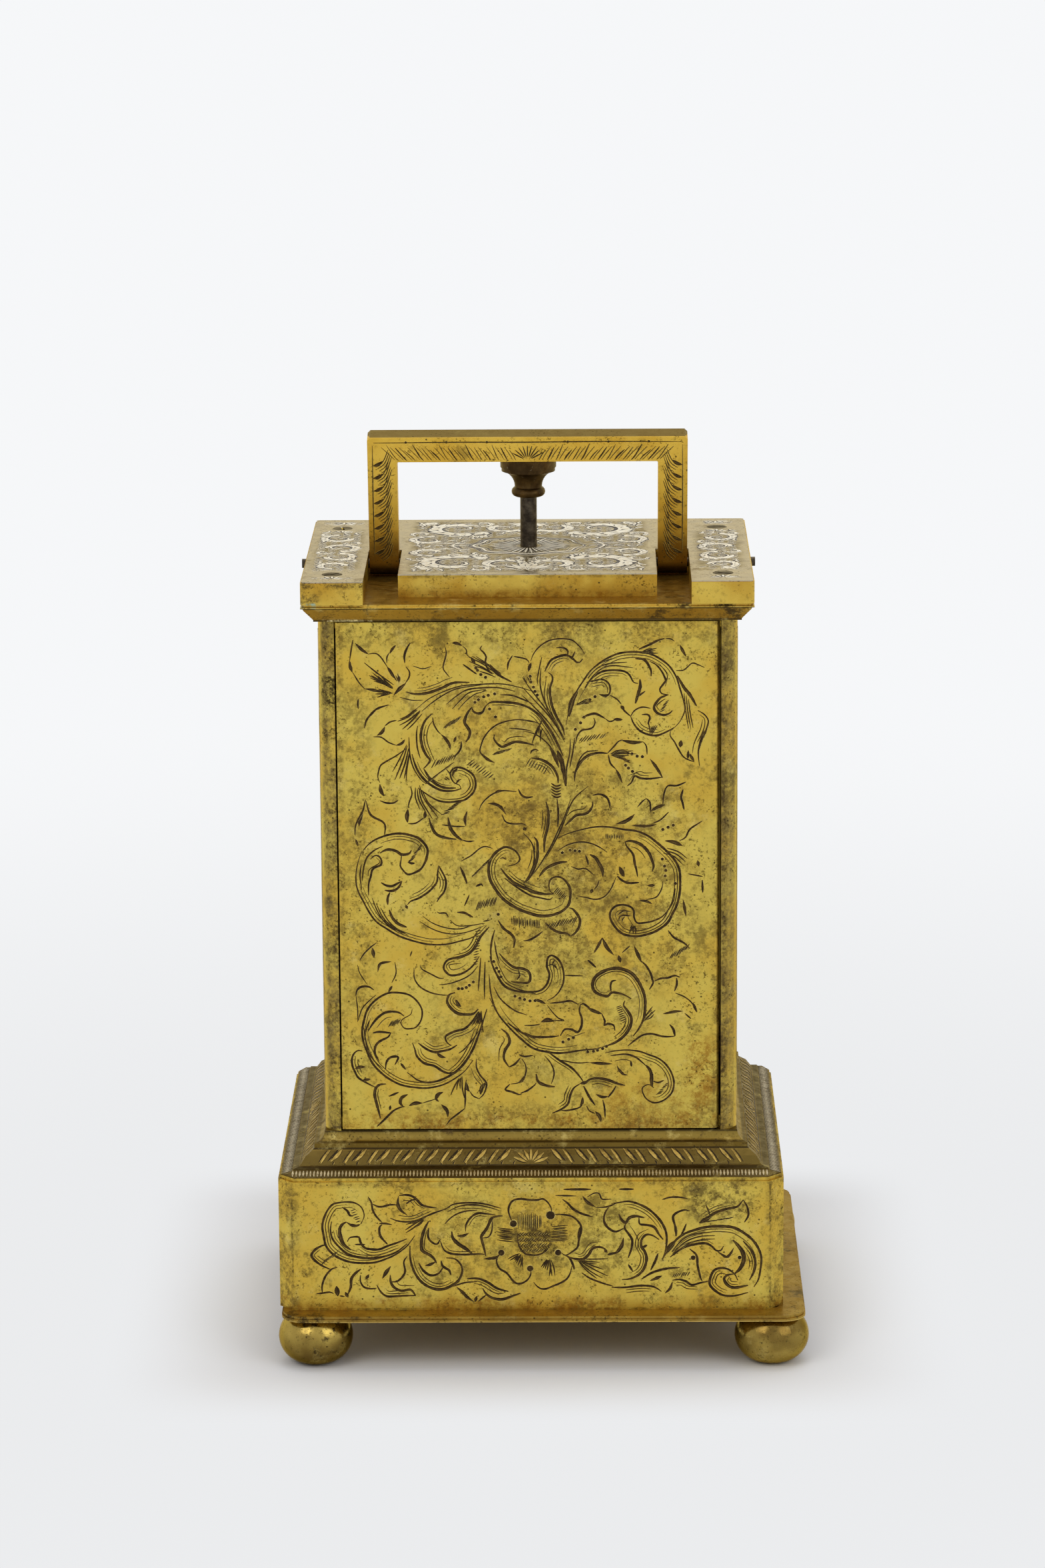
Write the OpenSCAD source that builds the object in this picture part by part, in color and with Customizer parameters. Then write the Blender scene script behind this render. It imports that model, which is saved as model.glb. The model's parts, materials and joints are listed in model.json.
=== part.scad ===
// Travel clock in a one-piece brass case with a folding handle.
// Lengths are in millimetres. +Z is up and the back door faces -Y.

/* [Case body] */
// Case body, width between the two side faces
body_w = 72; // [66:0.5:78]
// Case body, depth from back face to front face
body_d = 53; // [50:0.5:56]
// Case body, height between the mouldings
body_h = 90.9; // [86:0.1:96]
// Radius of the upright corners of the body
body_r = 3.2; // [2.8:0.1:3.6]
// Thickness of the side walls
wall_t = 2.0; // [1.6:0.1:2.6]
// Distance of the case's middle from the base plate's middle, along X
case_x = -2.1; // [-2.5:0.1:2]
// Distance of the case's middle from the base plate's middle, along Y
case_y = 1.5; // [-2:0.1:2]

/* [Plinth and base] */
// Height of the feet below the base plate
foot_h = 8.8; // [8:0.1:9.2]
// Largest diameter of a foot
foot_d = 13; // [12:0.1:13.6]
// Radius of the rounded rim of a foot
foot_rim_r = 4.75; // [4.6:0.05:5]
// Distance of the feet's axes from the base plate's edges
foot_inset = 5.8; // [5.6:0.1:7]
// Radius of the threaded stud on a foot
foot_stud_r = 1.2; // [1:0.1:1.5]
// Base plate, length along X
plate_w = 91.4; // [91.2:0.1:94]
// Base plate, length along Y
plate_d = 74; // [73.5:0.1:76]
// Base plate thickness
plate_t = 1.0; // [0.8:0.1:1.4]
// Corner radius of the base plate
plate_r = 4; // [2:0.1:5]
// Plinth box height
plinth_h = 23.9; // [20:0.1:26]
// How far the plinth stands out from the body
plinth_out = 8; // [7.8:0.1:8.4]
// Size of the cut at each plinth corner
plinth_cut = 2.5; // [2:0.1:3]
// Plinth wall thickness
plinth_t = 2; // [1.5:0.1:2.5]
// Height of the moulding above the plinth box
mould_h = 6.3; // [6.3:0.1:7]
// How far the small fillet of the plinth moulding stands out
fillet_out = 1.8; // [1.6:0.1:2]
// How far the leaf bevel's lower edge stands out
bevel_out = 4.2; // [4:0.1:4.5]
// How far the smooth strip below the bevel stands out
strip_out = 5.4; // [5.2:0.1:5.8]

/* [Cornice and top] */
// Height of the cornice below the slab
cornice_h = 3.25; // [3.2:0.05:3.8]
// How far slab and cornice stand out from the body
slab_out = 2.7; // [2.4:0.1:3]
// Thickness of the deck under the slab
deck_t = 1.5; // [1.2:0.1:1.8]
// Thickness of the top slab
slab_t = 4.0; // [3.8:0.1:4.4]
// Corner radius of the top slab
slab_r = 0.8; // [0.4:0.1:1.5]
// Distance of the slots' outer walls from the middle
slot_out = 28.0; // [27.9:0.1:28.6]
// Distance of the slots' inner walls from the middle
slot_in = 22.2; // [21.8:0.1:22.3]
// Depth of the recess for the crossbar, from the slab's back edge
bar_recess = 6.8; // [6.7:0.1:7.1]
// Distance of the top screws from the middle along X
top_screw_x = 33.5; // [32:0.1:34]
// Position of the two top screws near the back edge
top_screw_back = -22.1; // [-24:0.1:-21]
// Position of the two top screws near the front edge
top_screw_front = 20.8; // [20:0.1:23]
// Head radius of a top screw
top_screw_r = 1.75; // [1.6:0.05:1.8]
// Width of the screwdriver slots
screw_slot = 0.45; // [0.4:0.05:0.6]

/* [Handle] */
// Thickness of the handle bar
handle_t = 3.9; // [3.7:0.1:4]
// Half of the handle's outer width
handle_out = 27.7; // [27.5:0.1:27.7]
// Half of the gap between the handle's legs
handle_in = 22.6; // [22.5:0.1:23]
// Height of the handle's top face above its pivot, along the legs
handle_reach = 24.2; // [24:0.1:24.3]
// Height of the crossbar's section
handle_bar = 4.5; // [4.2:0.1:4.5]
// Distance of the pivot behind the case's middle
pivot_back = 3.0; // [2.9:0.1:3.3]
// Forward lean of the handle as it stands
handle_lean = 12; // [10:0.1:12.5]
// Radius of the handle's pivot pins
pin_r = 0.8; // [0.75:0.05:0.95]
// How far a pivot pin stands out of the slab
pin_out = 0.9; // [0.4:0.1:1.2]

/* [Repeat push-piece] */
// Position of the stem ahead of the case's middle
stem_y = 3.4; // [3:0.1:3.8]
// Radius of the steel stem
stem_r = 1.45; // [1.3:0.05:1.5]
// Height of the knob's top above the slab
knob_top = 16.3; // [16:0.1:16.8]
// Radius of the knob's cap
knob_r = 4.9; // [4.6:0.1:5.2]
// Travel of the push-piece
stem_travel = 4; // [3:0.1:4]

/* [Back door] */
// Width of the back door
door_w = 65.7; // [64:0.1:66]
// Thickness of the back door
door_t = 2.2; // [2:0.1:2.4]
// Gap round the back door
door_gap = 0.3; // [0.3:0.05:0.4]
// Radius of the door's pivot pins
door_pin_r = 0.65; // [0.6:0.05:0.7]
// Height of the rails that the closed door stops on
rail_h = 1.8; // [1.4:0.1:2.4]
// Length of a door pin inside the door
door_pin_len = 4; // [3:0.1:5]

/* [Dial side] */
// Width of the front frame
front_w = 65.7; // [64:0.1:66]
// Thickness of the front frame
front_t = 2.4; // [2.2:0.1:2.6]
// Width of the window in the front frame
window_w = 54; // [50:0.5:56]
// Height of the window in the front frame
window_h = 74; // [68:0.5:76]
// Thickness of the front glass
glass_t = 1.6; // [1.2:0.1:1.8]
// Radius of the chapter ring
dial_r = 25; // [23:0.1:26]
// Thickness of the dial plate
dial_t = 1.2; // [1:0.1:1.4]
// Length of the minute hand
minute_len = 20; // [18:0.1:22]
// Length of the hour hand
hour_len = 13; // [11:0.1:14]
// Thickness of a hand
hand_t = 0.35; // [0.3:0.05:0.45]

/* [Movement] */
// Width of the movement plates
mov_w = 58; // [58:0.5:60]
// Height of the movement plates
mov_h = 77; // [76.5:0.1:77.2]
// Thickness of a movement plate
mov_t = 1.6; // [1.4:0.1:1.8]
// Clear distance between the movement plates
mov_gap = 18.4; // [18.4:0.1:18.8]
// Height of the hands' axis above the plinth
centre_up = 50.35; // [50:0.05:50.6]
// Radius of the bell
bell_r = 15; // [13:0.1:15]
// Radius of the balance rim
balance_r = 6.5; // [6:0.1:7]
// Half side of the winding squares
square_s = 1.2; // [1:0.05:1.3]

/* [Fits] */
// Radial clearance of a running pin or arbor
run_fit = 0.05; // [0.03:0.01:0.08]
// Radial clearance of a fixed pin or screw
still_fit = 0.02; // [0.01:0.01:0.03]
// Play at the flanks of gear teeth
tooth_play = 0.16; // [0.14:0.01:0.2]

/* [Hidden] */

foot_span_x = plate_w - 2 * foot_inset;
foot_span_y = plate_d - 2 * foot_inset;
plinth_z = foot_h + plate_t;
mould_z = plinth_z + plinth_h;
body_z = mould_z + mould_h;
cornice_z = body_z + body_h;
slab_z = cornice_z + cornice_h;
top_z = slab_z + slab_t;
slab_w = body_w + 2 * slab_out;
slab_d = body_d + 2 * slab_out;
plinth_w = body_w + 2 * plinth_out;
plinth_d = body_d + 2 * plinth_out;
pivot_z = slab_z + 0.3 + handle_t / 2;
slot_end = -pivot_back + handle_t / 2 + 1.2;
ring_in = 3;
door_h = body_h - 2 * door_gap;
door_px = door_w / 2 - door_t / 2;
door_py = -body_d / 2 + door_t / 2;
back_in = -body_d / 2 + 16.1;
front_in = back_in + mov_gap;
centre_z = mould_z + centre_up;
barrel_x = 15;
barrel_pitch = 14.4;
centre_dist = 16.8;
barrel_z = centre_z - sqrt(centre_dist * centre_dist - barrel_x * barrel_x);
third_x = -7;
motion_x = 12;
third_z = centre_z + 10.476;
contrate_z = third_z + 7.419;
plate_top = mould_z + mov_h;
dial_y = front_in + mov_t + 6.4;
dial_w = window_w + 8;
pillar_x = mov_w / 2 - 2.5;
pillar_low = mould_z + 5;
pillar_high = plate_top - 3;
bell_z = mould_z + bell_r + 7.35;
hammer_x = bell_r + 9;
hammer_z = bell_z + bell_r + 0.15;
collar_z = slab_z - deck_t - 1.2;
bridge_z = slab_z - 10.05;

gold = [0.80, 0.64, 0.28];
old_gold = [0.66, 0.52, 0.22];
bronze = [0.35, 0.24, 0.14];
steel = [0.42, 0.42, 0.43];
blue_steel = [0.10, 0.14, 0.34];
yellow_brass = [0.83, 0.68, 0.34];
silver = [0.86, 0.86, 0.82];

// Places a piece of the case about the case's own middle.
module at_case() {
  translate([case_x, case_y, 0])
    children();
}

// A rectangle with rounded corners, about its middle.
module round_rect(w, d, r) {
  union() {
    square([w - 2 * r, d], center = true);
    square([w, d - 2 * r], center = true);
    for (sx = [-1, 1])
      for (sy = [-1, 1])
        translate([sx * (w / 2 - r), sy * (d / 2 - r)])
          circle(r = r, $fn = 48);
  }
}

// A rectangle with its corners cut off.
module cut_rect(w, d, c) {
  polygon([
    [-w / 2 + c, -d / 2], [w / 2 - c, -d / 2], [w / 2, -d / 2 + c], [w / 2, d / 2 - c],
    [w / 2 - c, d / 2], [-w / 2 + c, d / 2], [-w / 2, d / 2 - c], [-w / 2, -d / 2 + c]
  ]);
}

// A moulding's section on both long sides of a bar. The section's X points out of the face.
module run_straight(w, d, h) {
  translate([0, d / 2 + plinth_out + 1, 0])
    rotate([90, 0, 0])
      linear_extrude(d + 2 * plinth_out + 2)
        union() {
          for (s = [0, 1])
            mirror([s, 0])
              translate([w / 2, 0])
                children();
          translate([-(w / 2 - ring_in + 1), 0])
            square([w - 2 * ring_in + 2, h]);
        }
}

// Runs a section round a rectangle with mitred corners and leaves the middle open.
module run_mitred(w, d, h) {
  difference() {
    intersection() {
      run_straight(w, d, h)
        children();
      rotate([0, 0, 90])
        run_straight(d, w, h)
          children();
    }
    translate([0, 0, -1])
      linear_extrude(h + 2)
        square([w - 2 * ring_in, d - 2 * ring_in], center = true);
  }
}

// A straight-flanked gear outline with n teeth of module m, a tooth centred on +X.
module gear_outline(n, m) {
  rp = n * m / 2;
  ro = rp + 0.9 * m;
  ri = rp - 1.2 * m;
  half = (180 / n) / 2 - (tooth_play / 2) / rp * 90 / PI;
  polygon([
    for (i = [0:n - 1])
      for (k = [0:3])
        let (
          a = i * 360 / n + (k == 0 ? -half * 1.45 : k == 1 ? -half * 0.5 : k == 2 ? half * 0.5 : half * 1.45),
          r = (k == 0 || k == 3) ? ri : ro
        )
        [r * cos(a), r * sin(a)]
  ]);
}

// Turns a shape drawn in XY so that its Z axis runs along +Y at the given place.
module along_y(x, y, z) {
  translate([x, y, z])
    rotate([-90, 0, 0])
      children();
}

// A wheel with crossed-out spokes. Phase turns the teeth.
module train_wheel(n, m, t, spokes, phase) {
  rp = n * m / 2;
  rim_in = rp - 1.2 * m - 1.1;
  difference() {
    rotate([0, 0, phase])
      linear_extrude(t)
        gear_outline(n, m);
    translate([0, 0, -1])
      difference() {
        cylinder(r = rim_in, h = t + 2, $fn = 64);
        cylinder(r = 1.9, h = t + 2, $fn = 32);
        for (s = [0:spokes - 1])
          rotate([0, 0, s * 360 / spokes])
            translate([0, -0.45, 0])
              cube([rim_in + 1, 0.9, t + 2]);
      }
  }
}

// A pinion with n leaves.
module pinion(n, m, t, phase) {
  rotate([0, 0, phase])
    linear_extrude(t)
      gear_outline(n, m);
}

// An arbor between the plates with thinner pivots in the plate holes.
module arbor(r) {
  union() {
    translate([0, 0, back_in + 0.1])
      cylinder(r = r, h = mov_gap - 0.2, $fn = 24);
    translate([0, 0, back_in - mov_t])
      cylinder(r = 0.4, h = mov_gap + 2 * mov_t, $fn = 24);
  }
}

// The feet, squashed balls with a stud riveted into the plate.
module one_foot(sx, sy) {
  color(old_gold)
    translate([sx * foot_span_x / 2, sy * foot_span_y / 2, 0])
      union() {
        intersection() {
          translate([0, 0, foot_rim_r])
            rotate_extrude($fn = 64)
              intersection() {
                union() {
                  translate([foot_d / 2 - foot_rim_r, 0])
                    circle(r = foot_rim_r, $fn = 48);
                  translate([0, -foot_rim_r])
                    square([foot_d / 2 - foot_rim_r, 2 * foot_rim_r]);
                }
                translate([0, -foot_rim_r])
                  square([foot_d, 2 * foot_rim_r]);
              }
          cylinder(r = foot_d, h = foot_h, $fn = 32);
        }
        translate([0, 0, foot_h - 1])
          cylinder(r = foot_stud_r, h = 1 + plate_t - 0.1, $fn = 32);
      }
}

module foot_back_left() {
  one_foot(-1, -1);
}

module foot_back_right() {
  one_foot(1, -1);
}

module foot_front_left() {
  one_foot(-1, 1);
}

module foot_front_right() {
  one_foot(1, 1);
}

// Plate with a softened upper edge, holed for the feet's studs.
module base_plate() {
  color(old_gold)
    difference() {
      union() {
        translate([0, 0, foot_h])
          linear_extrude(plate_t / 2)
            round_rect(plate_w, plate_d, plate_r);
        translate([0, 0, foot_h + plate_t / 2])
          linear_extrude(plate_t / 2)
            round_rect(plate_w - 0.5, plate_d - 0.5, plate_r - 0.25);
      }
      for (sx = [-1, 1])
        for (sy = [-1, 1])
          translate([sx * foot_span_x / 2, sy * foot_span_y / 2, foot_h - 1])
            cylinder(r = foot_stud_r + still_fit, h = plate_t + 2, $fn = 32);
    }
}

// Open-bottomed box with cut corners and a deck that carries the movement.
module plinth() {
  color(gold)
    at_case()
      difference() {
        union() {
          translate([0, 0, plinth_z])
            linear_extrude(plinth_h - 0.6)
              cut_rect(plinth_w, plinth_d, plinth_cut);
          translate([0, 0, mould_z - 0.6])
            linear_extrude(0.6)
              cut_rect(plinth_w - 0.6, plinth_d - 0.6, plinth_cut);
        }
        translate([0, 0, plinth_z - 1])
          linear_extrude(plinth_h - 1.5 + 1)
            square([plinth_w - 2 * plinth_t - 1, plinth_d - 2 * plinth_t - 1], center = true);
      }
}

// Section of the plinth moulding: milled band, strip, leaf bevel, fillet and cove.
module mould_section() {
  difference() {
    polygon([
      [-ring_in, 0], [plinth_out - 0.4, 0], [plinth_out - 0.4, 0.1], [strip_out, 0.75],
      [strip_out, 0.95], [bevel_out, 1.25], [bevel_out - 0.9, 2.6], [fillet_out, 3.75],
      [fillet_out, 4.55], [fillet_out - 0.2, 4.55], [0, mould_h], [-ring_in, mould_h]
    ]);
    translate([fillet_out, mould_h])
      circle(r = 1.75, $fn = 48);
  }
}

module plinth_moulding() {
  color(gold)
    difference() {
      at_case()
        translate([0, 0, mould_z])
          intersection() {
            run_mitred(body_w, body_d, mould_h)
              mould_section();
            linear_extrude(mould_h)
              cut_rect(plinth_w - 0.8, plinth_d - 0.8, plinth_cut);
          }
      at_case()
        translate([door_px, door_py, body_z - 2])
          cylinder(r = door_pin_r + still_fit, h = 3, $fn = 32);
    }
}

// Side walls and corner posts in one piece, joined by rails behind the back door.
module case_body() {
  color(gold)
    at_case()
      union() {
        difference() {
          translate([0, 0, body_z])
            linear_extrude(body_h)
              round_rect(body_w, body_d, body_r);
          translate([0, 0, body_z - 1])
            linear_extrude(body_h + 2)
              square([body_w - 2 * wall_t, body_d - 2 * 2.9], center = true);
          translate([-(door_w / 2 + door_gap), -body_d / 2 - 1, body_z - 1])
            cube([door_w + 2 * door_gap, 5, body_h + 2]);
          translate([-front_w / 2, body_d / 2 - 4, body_z - 1])
            cube([front_w, 5, body_h + 2]);
        }
        for (z = [body_z, cornice_z - rail_h])
          translate([-(body_w / 2 - 1), -body_d / 2 + door_t + door_gap, z])
            cube([body_w - 2, 1.6, rail_h]);
      }
}

// Section of the cornice: bead, swelling bevel, lip and quirk.
module cornice_section() {
  polygon([
    [-ring_in, 0], [0.6, 0], [0.6, 0.3], [slab_out - 0.45, 2.3], [slab_out - 0.45, 2.45],
    [slab_out, 2.6], [slab_out, 2.8], [slab_out - 0.55, 2.9], [slab_out - 0.55, cornice_h],
    [-ring_in, cornice_h]
  ]);
}

module cornice() {
  color(gold)
    difference() {
      at_case()
        translate([0, 0, cornice_z])
          difference() {
            union() {
              run_mitred(body_w, body_d, cornice_h)
                cornice_section();
              translate([0, 0, cornice_h - deck_t])
                linear_extrude(deck_t)
                  square([body_w - 5, body_d - 5], center = true);
            }
            translate([0, stem_y, 0])
              cylinder(r = stem_r + run_fit, h = 10, $fn = 32);
            translate([door_px, door_py, -1])
              cylinder(r = door_pin_r + still_fit, h = 3, $fn = 32);
          }
      at_case()
        for (sx = [-1, 1])
          for (y = [top_screw_back, top_screw_front])
            translate([sx * top_screw_x, y, slab_z - 3])
              cylinder(r = 0.8 + still_fit, h = 5, $fn = 32);
    }
}

// Top slab with two leg slots and a recess for the crossbar.
module top_slab() {
  color(silver)
    at_case()
      difference() {
        union() {
          translate([0, 0, slab_z])
            linear_extrude(slab_t - 0.25)
              round_rect(slab_w, slab_d, slab_r);
          translate([0, 0, top_z - 0.25])
            linear_extrude(0.25)
              round_rect(slab_w - 0.4, slab_d - 0.4, slab_r - 0.2);
        }
        for (s = [0, 1])
          mirror([s, 0, 0])
            translate([slot_in, -slab_d / 2 - 1, slab_z - 1])
              cube([slot_out - slot_in, slab_d / 2 + 1 + slot_end, slab_t + 2]);
        translate([-slot_out, -slab_d / 2 - 1, slab_z - 1])
          cube([2 * slot_out, 1 + bar_recess, slab_t + 2]);
        translate([-60, -pivot_back, pivot_z])
          rotate([0, 90, 0])
            cylinder(r = pin_r + still_fit, h = 120 - 60 - 20.4, $fn = 32);
        translate([20.4, -pivot_back, pivot_z])
          rotate([0, 90, 0])
            cylinder(r = pin_r + still_fit, h = 40, $fn = 32);
        translate([0, stem_y, slab_z - 1])
          cylinder(r = stem_r + run_fit, h = slab_t + 2, $fn = 32);
        for (sx = [-1, 1])
          for (y = [top_screw_back, top_screw_front])
            translate([sx * top_screw_x, y, slab_z - 1])
              union() {
                cylinder(r = 0.8 + still_fit, h = 6, $fn = 32);
                translate([0, 0, 1 + slab_t - 1.2])
                  cylinder(r1 = 0.8 + still_fit, r2 = top_screw_r + 0.05, h = 1.2, $fn = 32);
              }
      }
}

// Countersunk slotted screw through the slab into the cornice.
module one_top_screw(sx, y, turn) {
  color(steel)
    at_case()
      translate([sx * top_screw_x, y, 0])
        difference() {
          union() {
            translate([0, 0, slab_z - 2])
              cylinder(r = 0.8, h = slab_t + 2 - 1.2, $fn = 32);
            translate([0, 0, top_z - 1.2])
              cylinder(r1 = 0.8, r2 = top_screw_r, h = 1.2, $fn = 32);
          }
          translate([0, 0, top_z - 0.45])
            rotate([0, 0, turn])
              translate([-3, -screw_slot / 2, 0])
                cube([6, screw_slot, 1]);
        }
}

module top_screw_bl() {
  one_top_screw(-1, top_screw_back, 40);
}

module top_screw_br() {
  one_top_screw(1, top_screw_back, 150);
}

module top_screw_fl() {
  one_top_screw(-1, top_screw_front, 100);
}

module top_screw_fr() {
  one_top_screw(1, top_screw_front, 20);
}

// Bail handle with rounded leg ends, turned to its lean about the pivot.
module handle() {
  color(gold)
    at_case()
      translate([0, -pivot_back, pivot_z])
        rotate([handle_lean, 0, 0])
          difference() {
            union() {
              for (s = [0, 1])
                mirror([s, 0, 0])
                  union() {
                    translate([handle_in, -handle_t / 2, 0])
                      cube([handle_out - handle_in, handle_t, handle_reach - handle_bar + 0.5]);
                    translate([handle_in, 0, 0])
                      rotate([0, 90, 0])
                        cylinder(r = handle_t / 2, h = handle_out - handle_in, $fn = 48);
                  }
              translate([0, handle_t / 2, handle_reach - handle_bar])
                rotate([90, 0, 0])
                  linear_extrude(handle_t)
                    polygon([
                      [-handle_out, 0], [handle_out, 0], [handle_out, handle_bar - 0.5],
                      [handle_out - 0.5, handle_bar], [-handle_out + 0.5, handle_bar],
                      [-handle_out, handle_bar - 0.5]
                    ]);
              for (s = [0, 1])
                mirror([s, 0, 0])
                  translate([handle_in - 0.3, handle_t / 2, handle_reach - handle_bar - 0.3])
                    rotate([90, 0, 0])
                      linear_extrude(handle_t)
                        difference() {
                          square([0.6, 0.6]);
                          circle(r = 0.3, $fn = 32);
                        }
            }
            translate([-60, 0, 0])
              rotate([0, 90, 0])
                cylinder(r = pin_r + run_fit, h = 120, $fn = 32);
          }
}

module one_handle_pin(s) {
  color(steel)
    at_case()
      mirror([s, 0, 0])
        translate([20.5, -pivot_back, pivot_z])
          rotate([0, 90, 0])
            cylinder(r = pin_r, h = slab_w / 2 + pin_out - 20.5, $fn = 32);
}

module handle_pin_left() {
  one_handle_pin(1);
}

module handle_pin_right() {
  one_handle_pin(0);
}

// Door leaf, rounded at its pivot edge, bored for the two pins.
module back_door() {
  color(gold)
    at_case()
      translate([0, 0, body_z + door_gap])
        difference() {
          union() {
            translate([-door_w / 2, -body_d / 2, 0])
              cube([door_w - door_t / 2, door_t, door_h]);
            translate([door_px, door_py, 0])
              cylinder(r = door_t / 2, h = door_h, $fn = 48);
          }
          translate([door_px, door_py, -1])
            cylinder(r = door_pin_r + run_fit, h = door_pin_len + 1.1, $fn = 32);
          translate([door_px, door_py, door_h - door_pin_len - 0.1])
            cylinder(r = door_pin_r + run_fit, h = door_pin_len + 1, $fn = 32);
        }
}

module door_pin_bottom() {
  color(steel)
    at_case()
      translate([door_px, door_py, body_z - 1.9])
        cylinder(r = door_pin_r, h = door_pin_len + 1.9, $fn = 32);
}

module door_pin_top() {
  color(steel)
    at_case()
      translate([door_px, door_py, cornice_z - door_pin_len])
        cylinder(r = door_pin_r, h = door_pin_len + 1.9, $fn = 32);
}

// Steel stem with a collar below the deck.
module repeat_stem() {
  color(steel)
    at_case()
      translate([0, stem_y, 0])
        union() {
          translate([0, 0, bridge_z - 0.4])
            cylinder(r = stem_r, h = top_z + knob_top - 5 - bridge_z + 0.4, $fn = 32);
          translate([0, 0, collar_z])
            cylinder(r = 2.7, h = 0.8, $fn = 32);
        }
}

// Turned knob: ring, neck, cove and flat cap.
module repeat_knob() {
  color(bronze)
    at_case()
      translate([0, stem_y, top_z + knob_top])
        difference() {
          rotate_extrude($fn = 64)
            difference() {
              union() {
                translate([0, -2.35])
                  square([knob_r - 0.2, 2.35]);
                translate([0, -2.15])
                  square([knob_r, 1.95]);
                difference() {
                  translate([0, -6])
                    square([knob_r - 0.2, 3.7]);
                  translate([5.2, -5.6])
                    circle(r = 2.8, $fn = 48);
                }
                translate([2.1, -6.55])
                  circle(r = 0.85, $fn = 32);
                translate([0, -7.4])
                  square([2.1, 1.7]);
              }
              translate([-2, -8])
                square([2, 10]);
            }
          translate([0, 0, -8])
            cylinder(r = stem_r + still_fit, h = 3.05, $fn = 32);
        }
}

// Return spring of the push-piece, drawn as a stack of closely set rings.
module repeat_spring() {
  color(steel)
    at_case()
      translate([0, stem_y, 0])
        union() {
          for (k = [0:5])
            translate([0, 0, bridge_z + 1.35 + k * (collar_z - bridge_z - 1.7) / 5])
              rotate_extrude($fn = 32)
                translate([2.1, 0])
                  circle(r = 0.2, $fn = 16);
          for (a = [0, 180])
            rotate([0, 0, a])
              translate([2.1, 0, bridge_z + 1.35])
                cylinder(r = 0.12, h = collar_z - bridge_z - 1.7, $fn = 16);
        }
}

// Bridge that hangs below the deck and guides the stem's lower end.
module repeat_bridge() {
  color(yellow_brass)
    at_case()
      translate([0, stem_y, 0])
        difference() {
          union() {
            translate([-7, -3, bridge_z])
              cube([14, 6, 1]);
            for (s = [0, 1])
              mirror([s, 0, 0])
                translate([6, -3, bridge_z])
                  cube([1, 6, slab_z - deck_t - bridge_z]);
          }
          translate([0, 0, bridge_z - 1])
            cylinder(r = stem_r + run_fit, h = 3, $fn = 32);
        }
}

// Glazed front frame let into the case.
module front_frame() {
  color(gold)
    at_case()
      translate([0, 0, body_z + 0.1])
        difference() {
          translate([-front_w / 2, body_d / 2 - front_t, 0])
            cube([front_w, front_t, body_h - 0.2]);
          translate([-window_w / 2, body_d / 2 - front_t - 1, (body_h - window_h) / 2])
            cube([window_w, front_t + 2, window_h]);
          translate([-window_w / 2 - 1.5, body_d / 2 - front_t - 1, (body_h - window_h) / 2 - 1.5])
            cube([window_w + 3, glass_t + 1, window_h + 3]);
        }
}

module front_glass() {
  color([0.8, 0.9, 0.9, 0.35])
    at_case()
      translate([-window_w / 2 - 1.4, body_d / 2 - front_t, body_z + 0.1 + (body_h - window_h) / 2 - 1.4])
        cube([window_w + 2.8, glass_t, window_h + 2.8]);
}

// Dial plate with a hole for the hands' pipes.
module dial_plate() {
  color(silver)
    at_case()
      difference() {
        translate([-dial_w / 2, dial_y, body_z + 2])
          cube([dial_w, dial_t, body_h - 4]);
        along_y(0, dial_y - 1, centre_z)
          cylinder(r = 3, h = dial_t + 2, $fn = 48);
      }
}

// Chapter ring with twelve raised hour marks.
module chapter_ring() {
  color(silver)
    at_case()
      along_y(0, dial_y + dial_t, centre_z)
        union() {
          difference() {
            cylinder(r = dial_r, h = 0.5, $fn = 96);
            translate([0, 0, -1])
              cylinder(r = dial_r - 8, h = 3, $fn = 96);
          }
          for (a = [0:11])
            rotate([0, 0, a * 30])
              translate([dial_r - 1.9, -0.3, 0.4])
                cube([1.2, 0.6, 0.2]);
        }
}

module dial_feet() {
  color(yellow_brass)
    at_case()
      for (sx = [-1, 1])
        for (z = [pillar_low + 7, pillar_high - 7])
          along_y(sx * (pillar_x - 1.5), front_in + mov_t, z)
            cylinder(r = 1.2, h = dial_y - front_in - mov_t, $fn = 24);
}

// Hour hand, with its pipe over the cannon pinion.
module hour_hand() {
  color(blue_steel)
    at_case()
      along_y(0, dial_y + dial_t + 0.9, centre_z)
        difference() {
          union() {
            cylinder(r = 2.2, h = hand_t + 0.4, $fn = 32);
            rotate([0, 0, -150])
              linear_extrude(hand_t)
                difference() {
                  union() {
                    polygon([[0, -0.55], [hour_len - 4, -0.4], [hour_len, 0], [hour_len - 4, 0.4], [0, 0.55]]);
                    translate([hour_len - 4.2, 0])
                      circle(r = 1.5, $fn = 32);
                  }
                  translate([hour_len - 4.2, 0])
                    circle(r = 0.9, $fn = 32);
                }
          }
          translate([0, 0, -1])
            cylinder(r = 1.45 + run_fit, h = 4, $fn = 32);
        }
}

// Minute hand on the cannon pinion's square end.
module minute_hand() {
  color(blue_steel)
    at_case()
      along_y(0, dial_y + dial_t + 2.0, centre_z)
        difference() {
          union() {
            cylinder(r = 1.7, h = hand_t + 0.3, $fn = 32);
            rotate([0, 0, -30])
              linear_extrude(hand_t)
                difference() {
                  union() {
                    polygon([[0, -0.45], [minute_len - 5, -0.3], [minute_len, 0], [minute_len - 5, 0.3], [0, 0.45]]);
                    translate([minute_len - 5.2, 0])
                      circle(r = 1.1, $fn = 32);
                  }
                  translate([minute_len - 5.2, 0])
                    circle(r = 0.6, $fn = 32);
                }
          }
          translate([0, 0, -1])
            cylinder(r = 1.0 + still_fit, h = 4, $fn = 32);
        }
}

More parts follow.
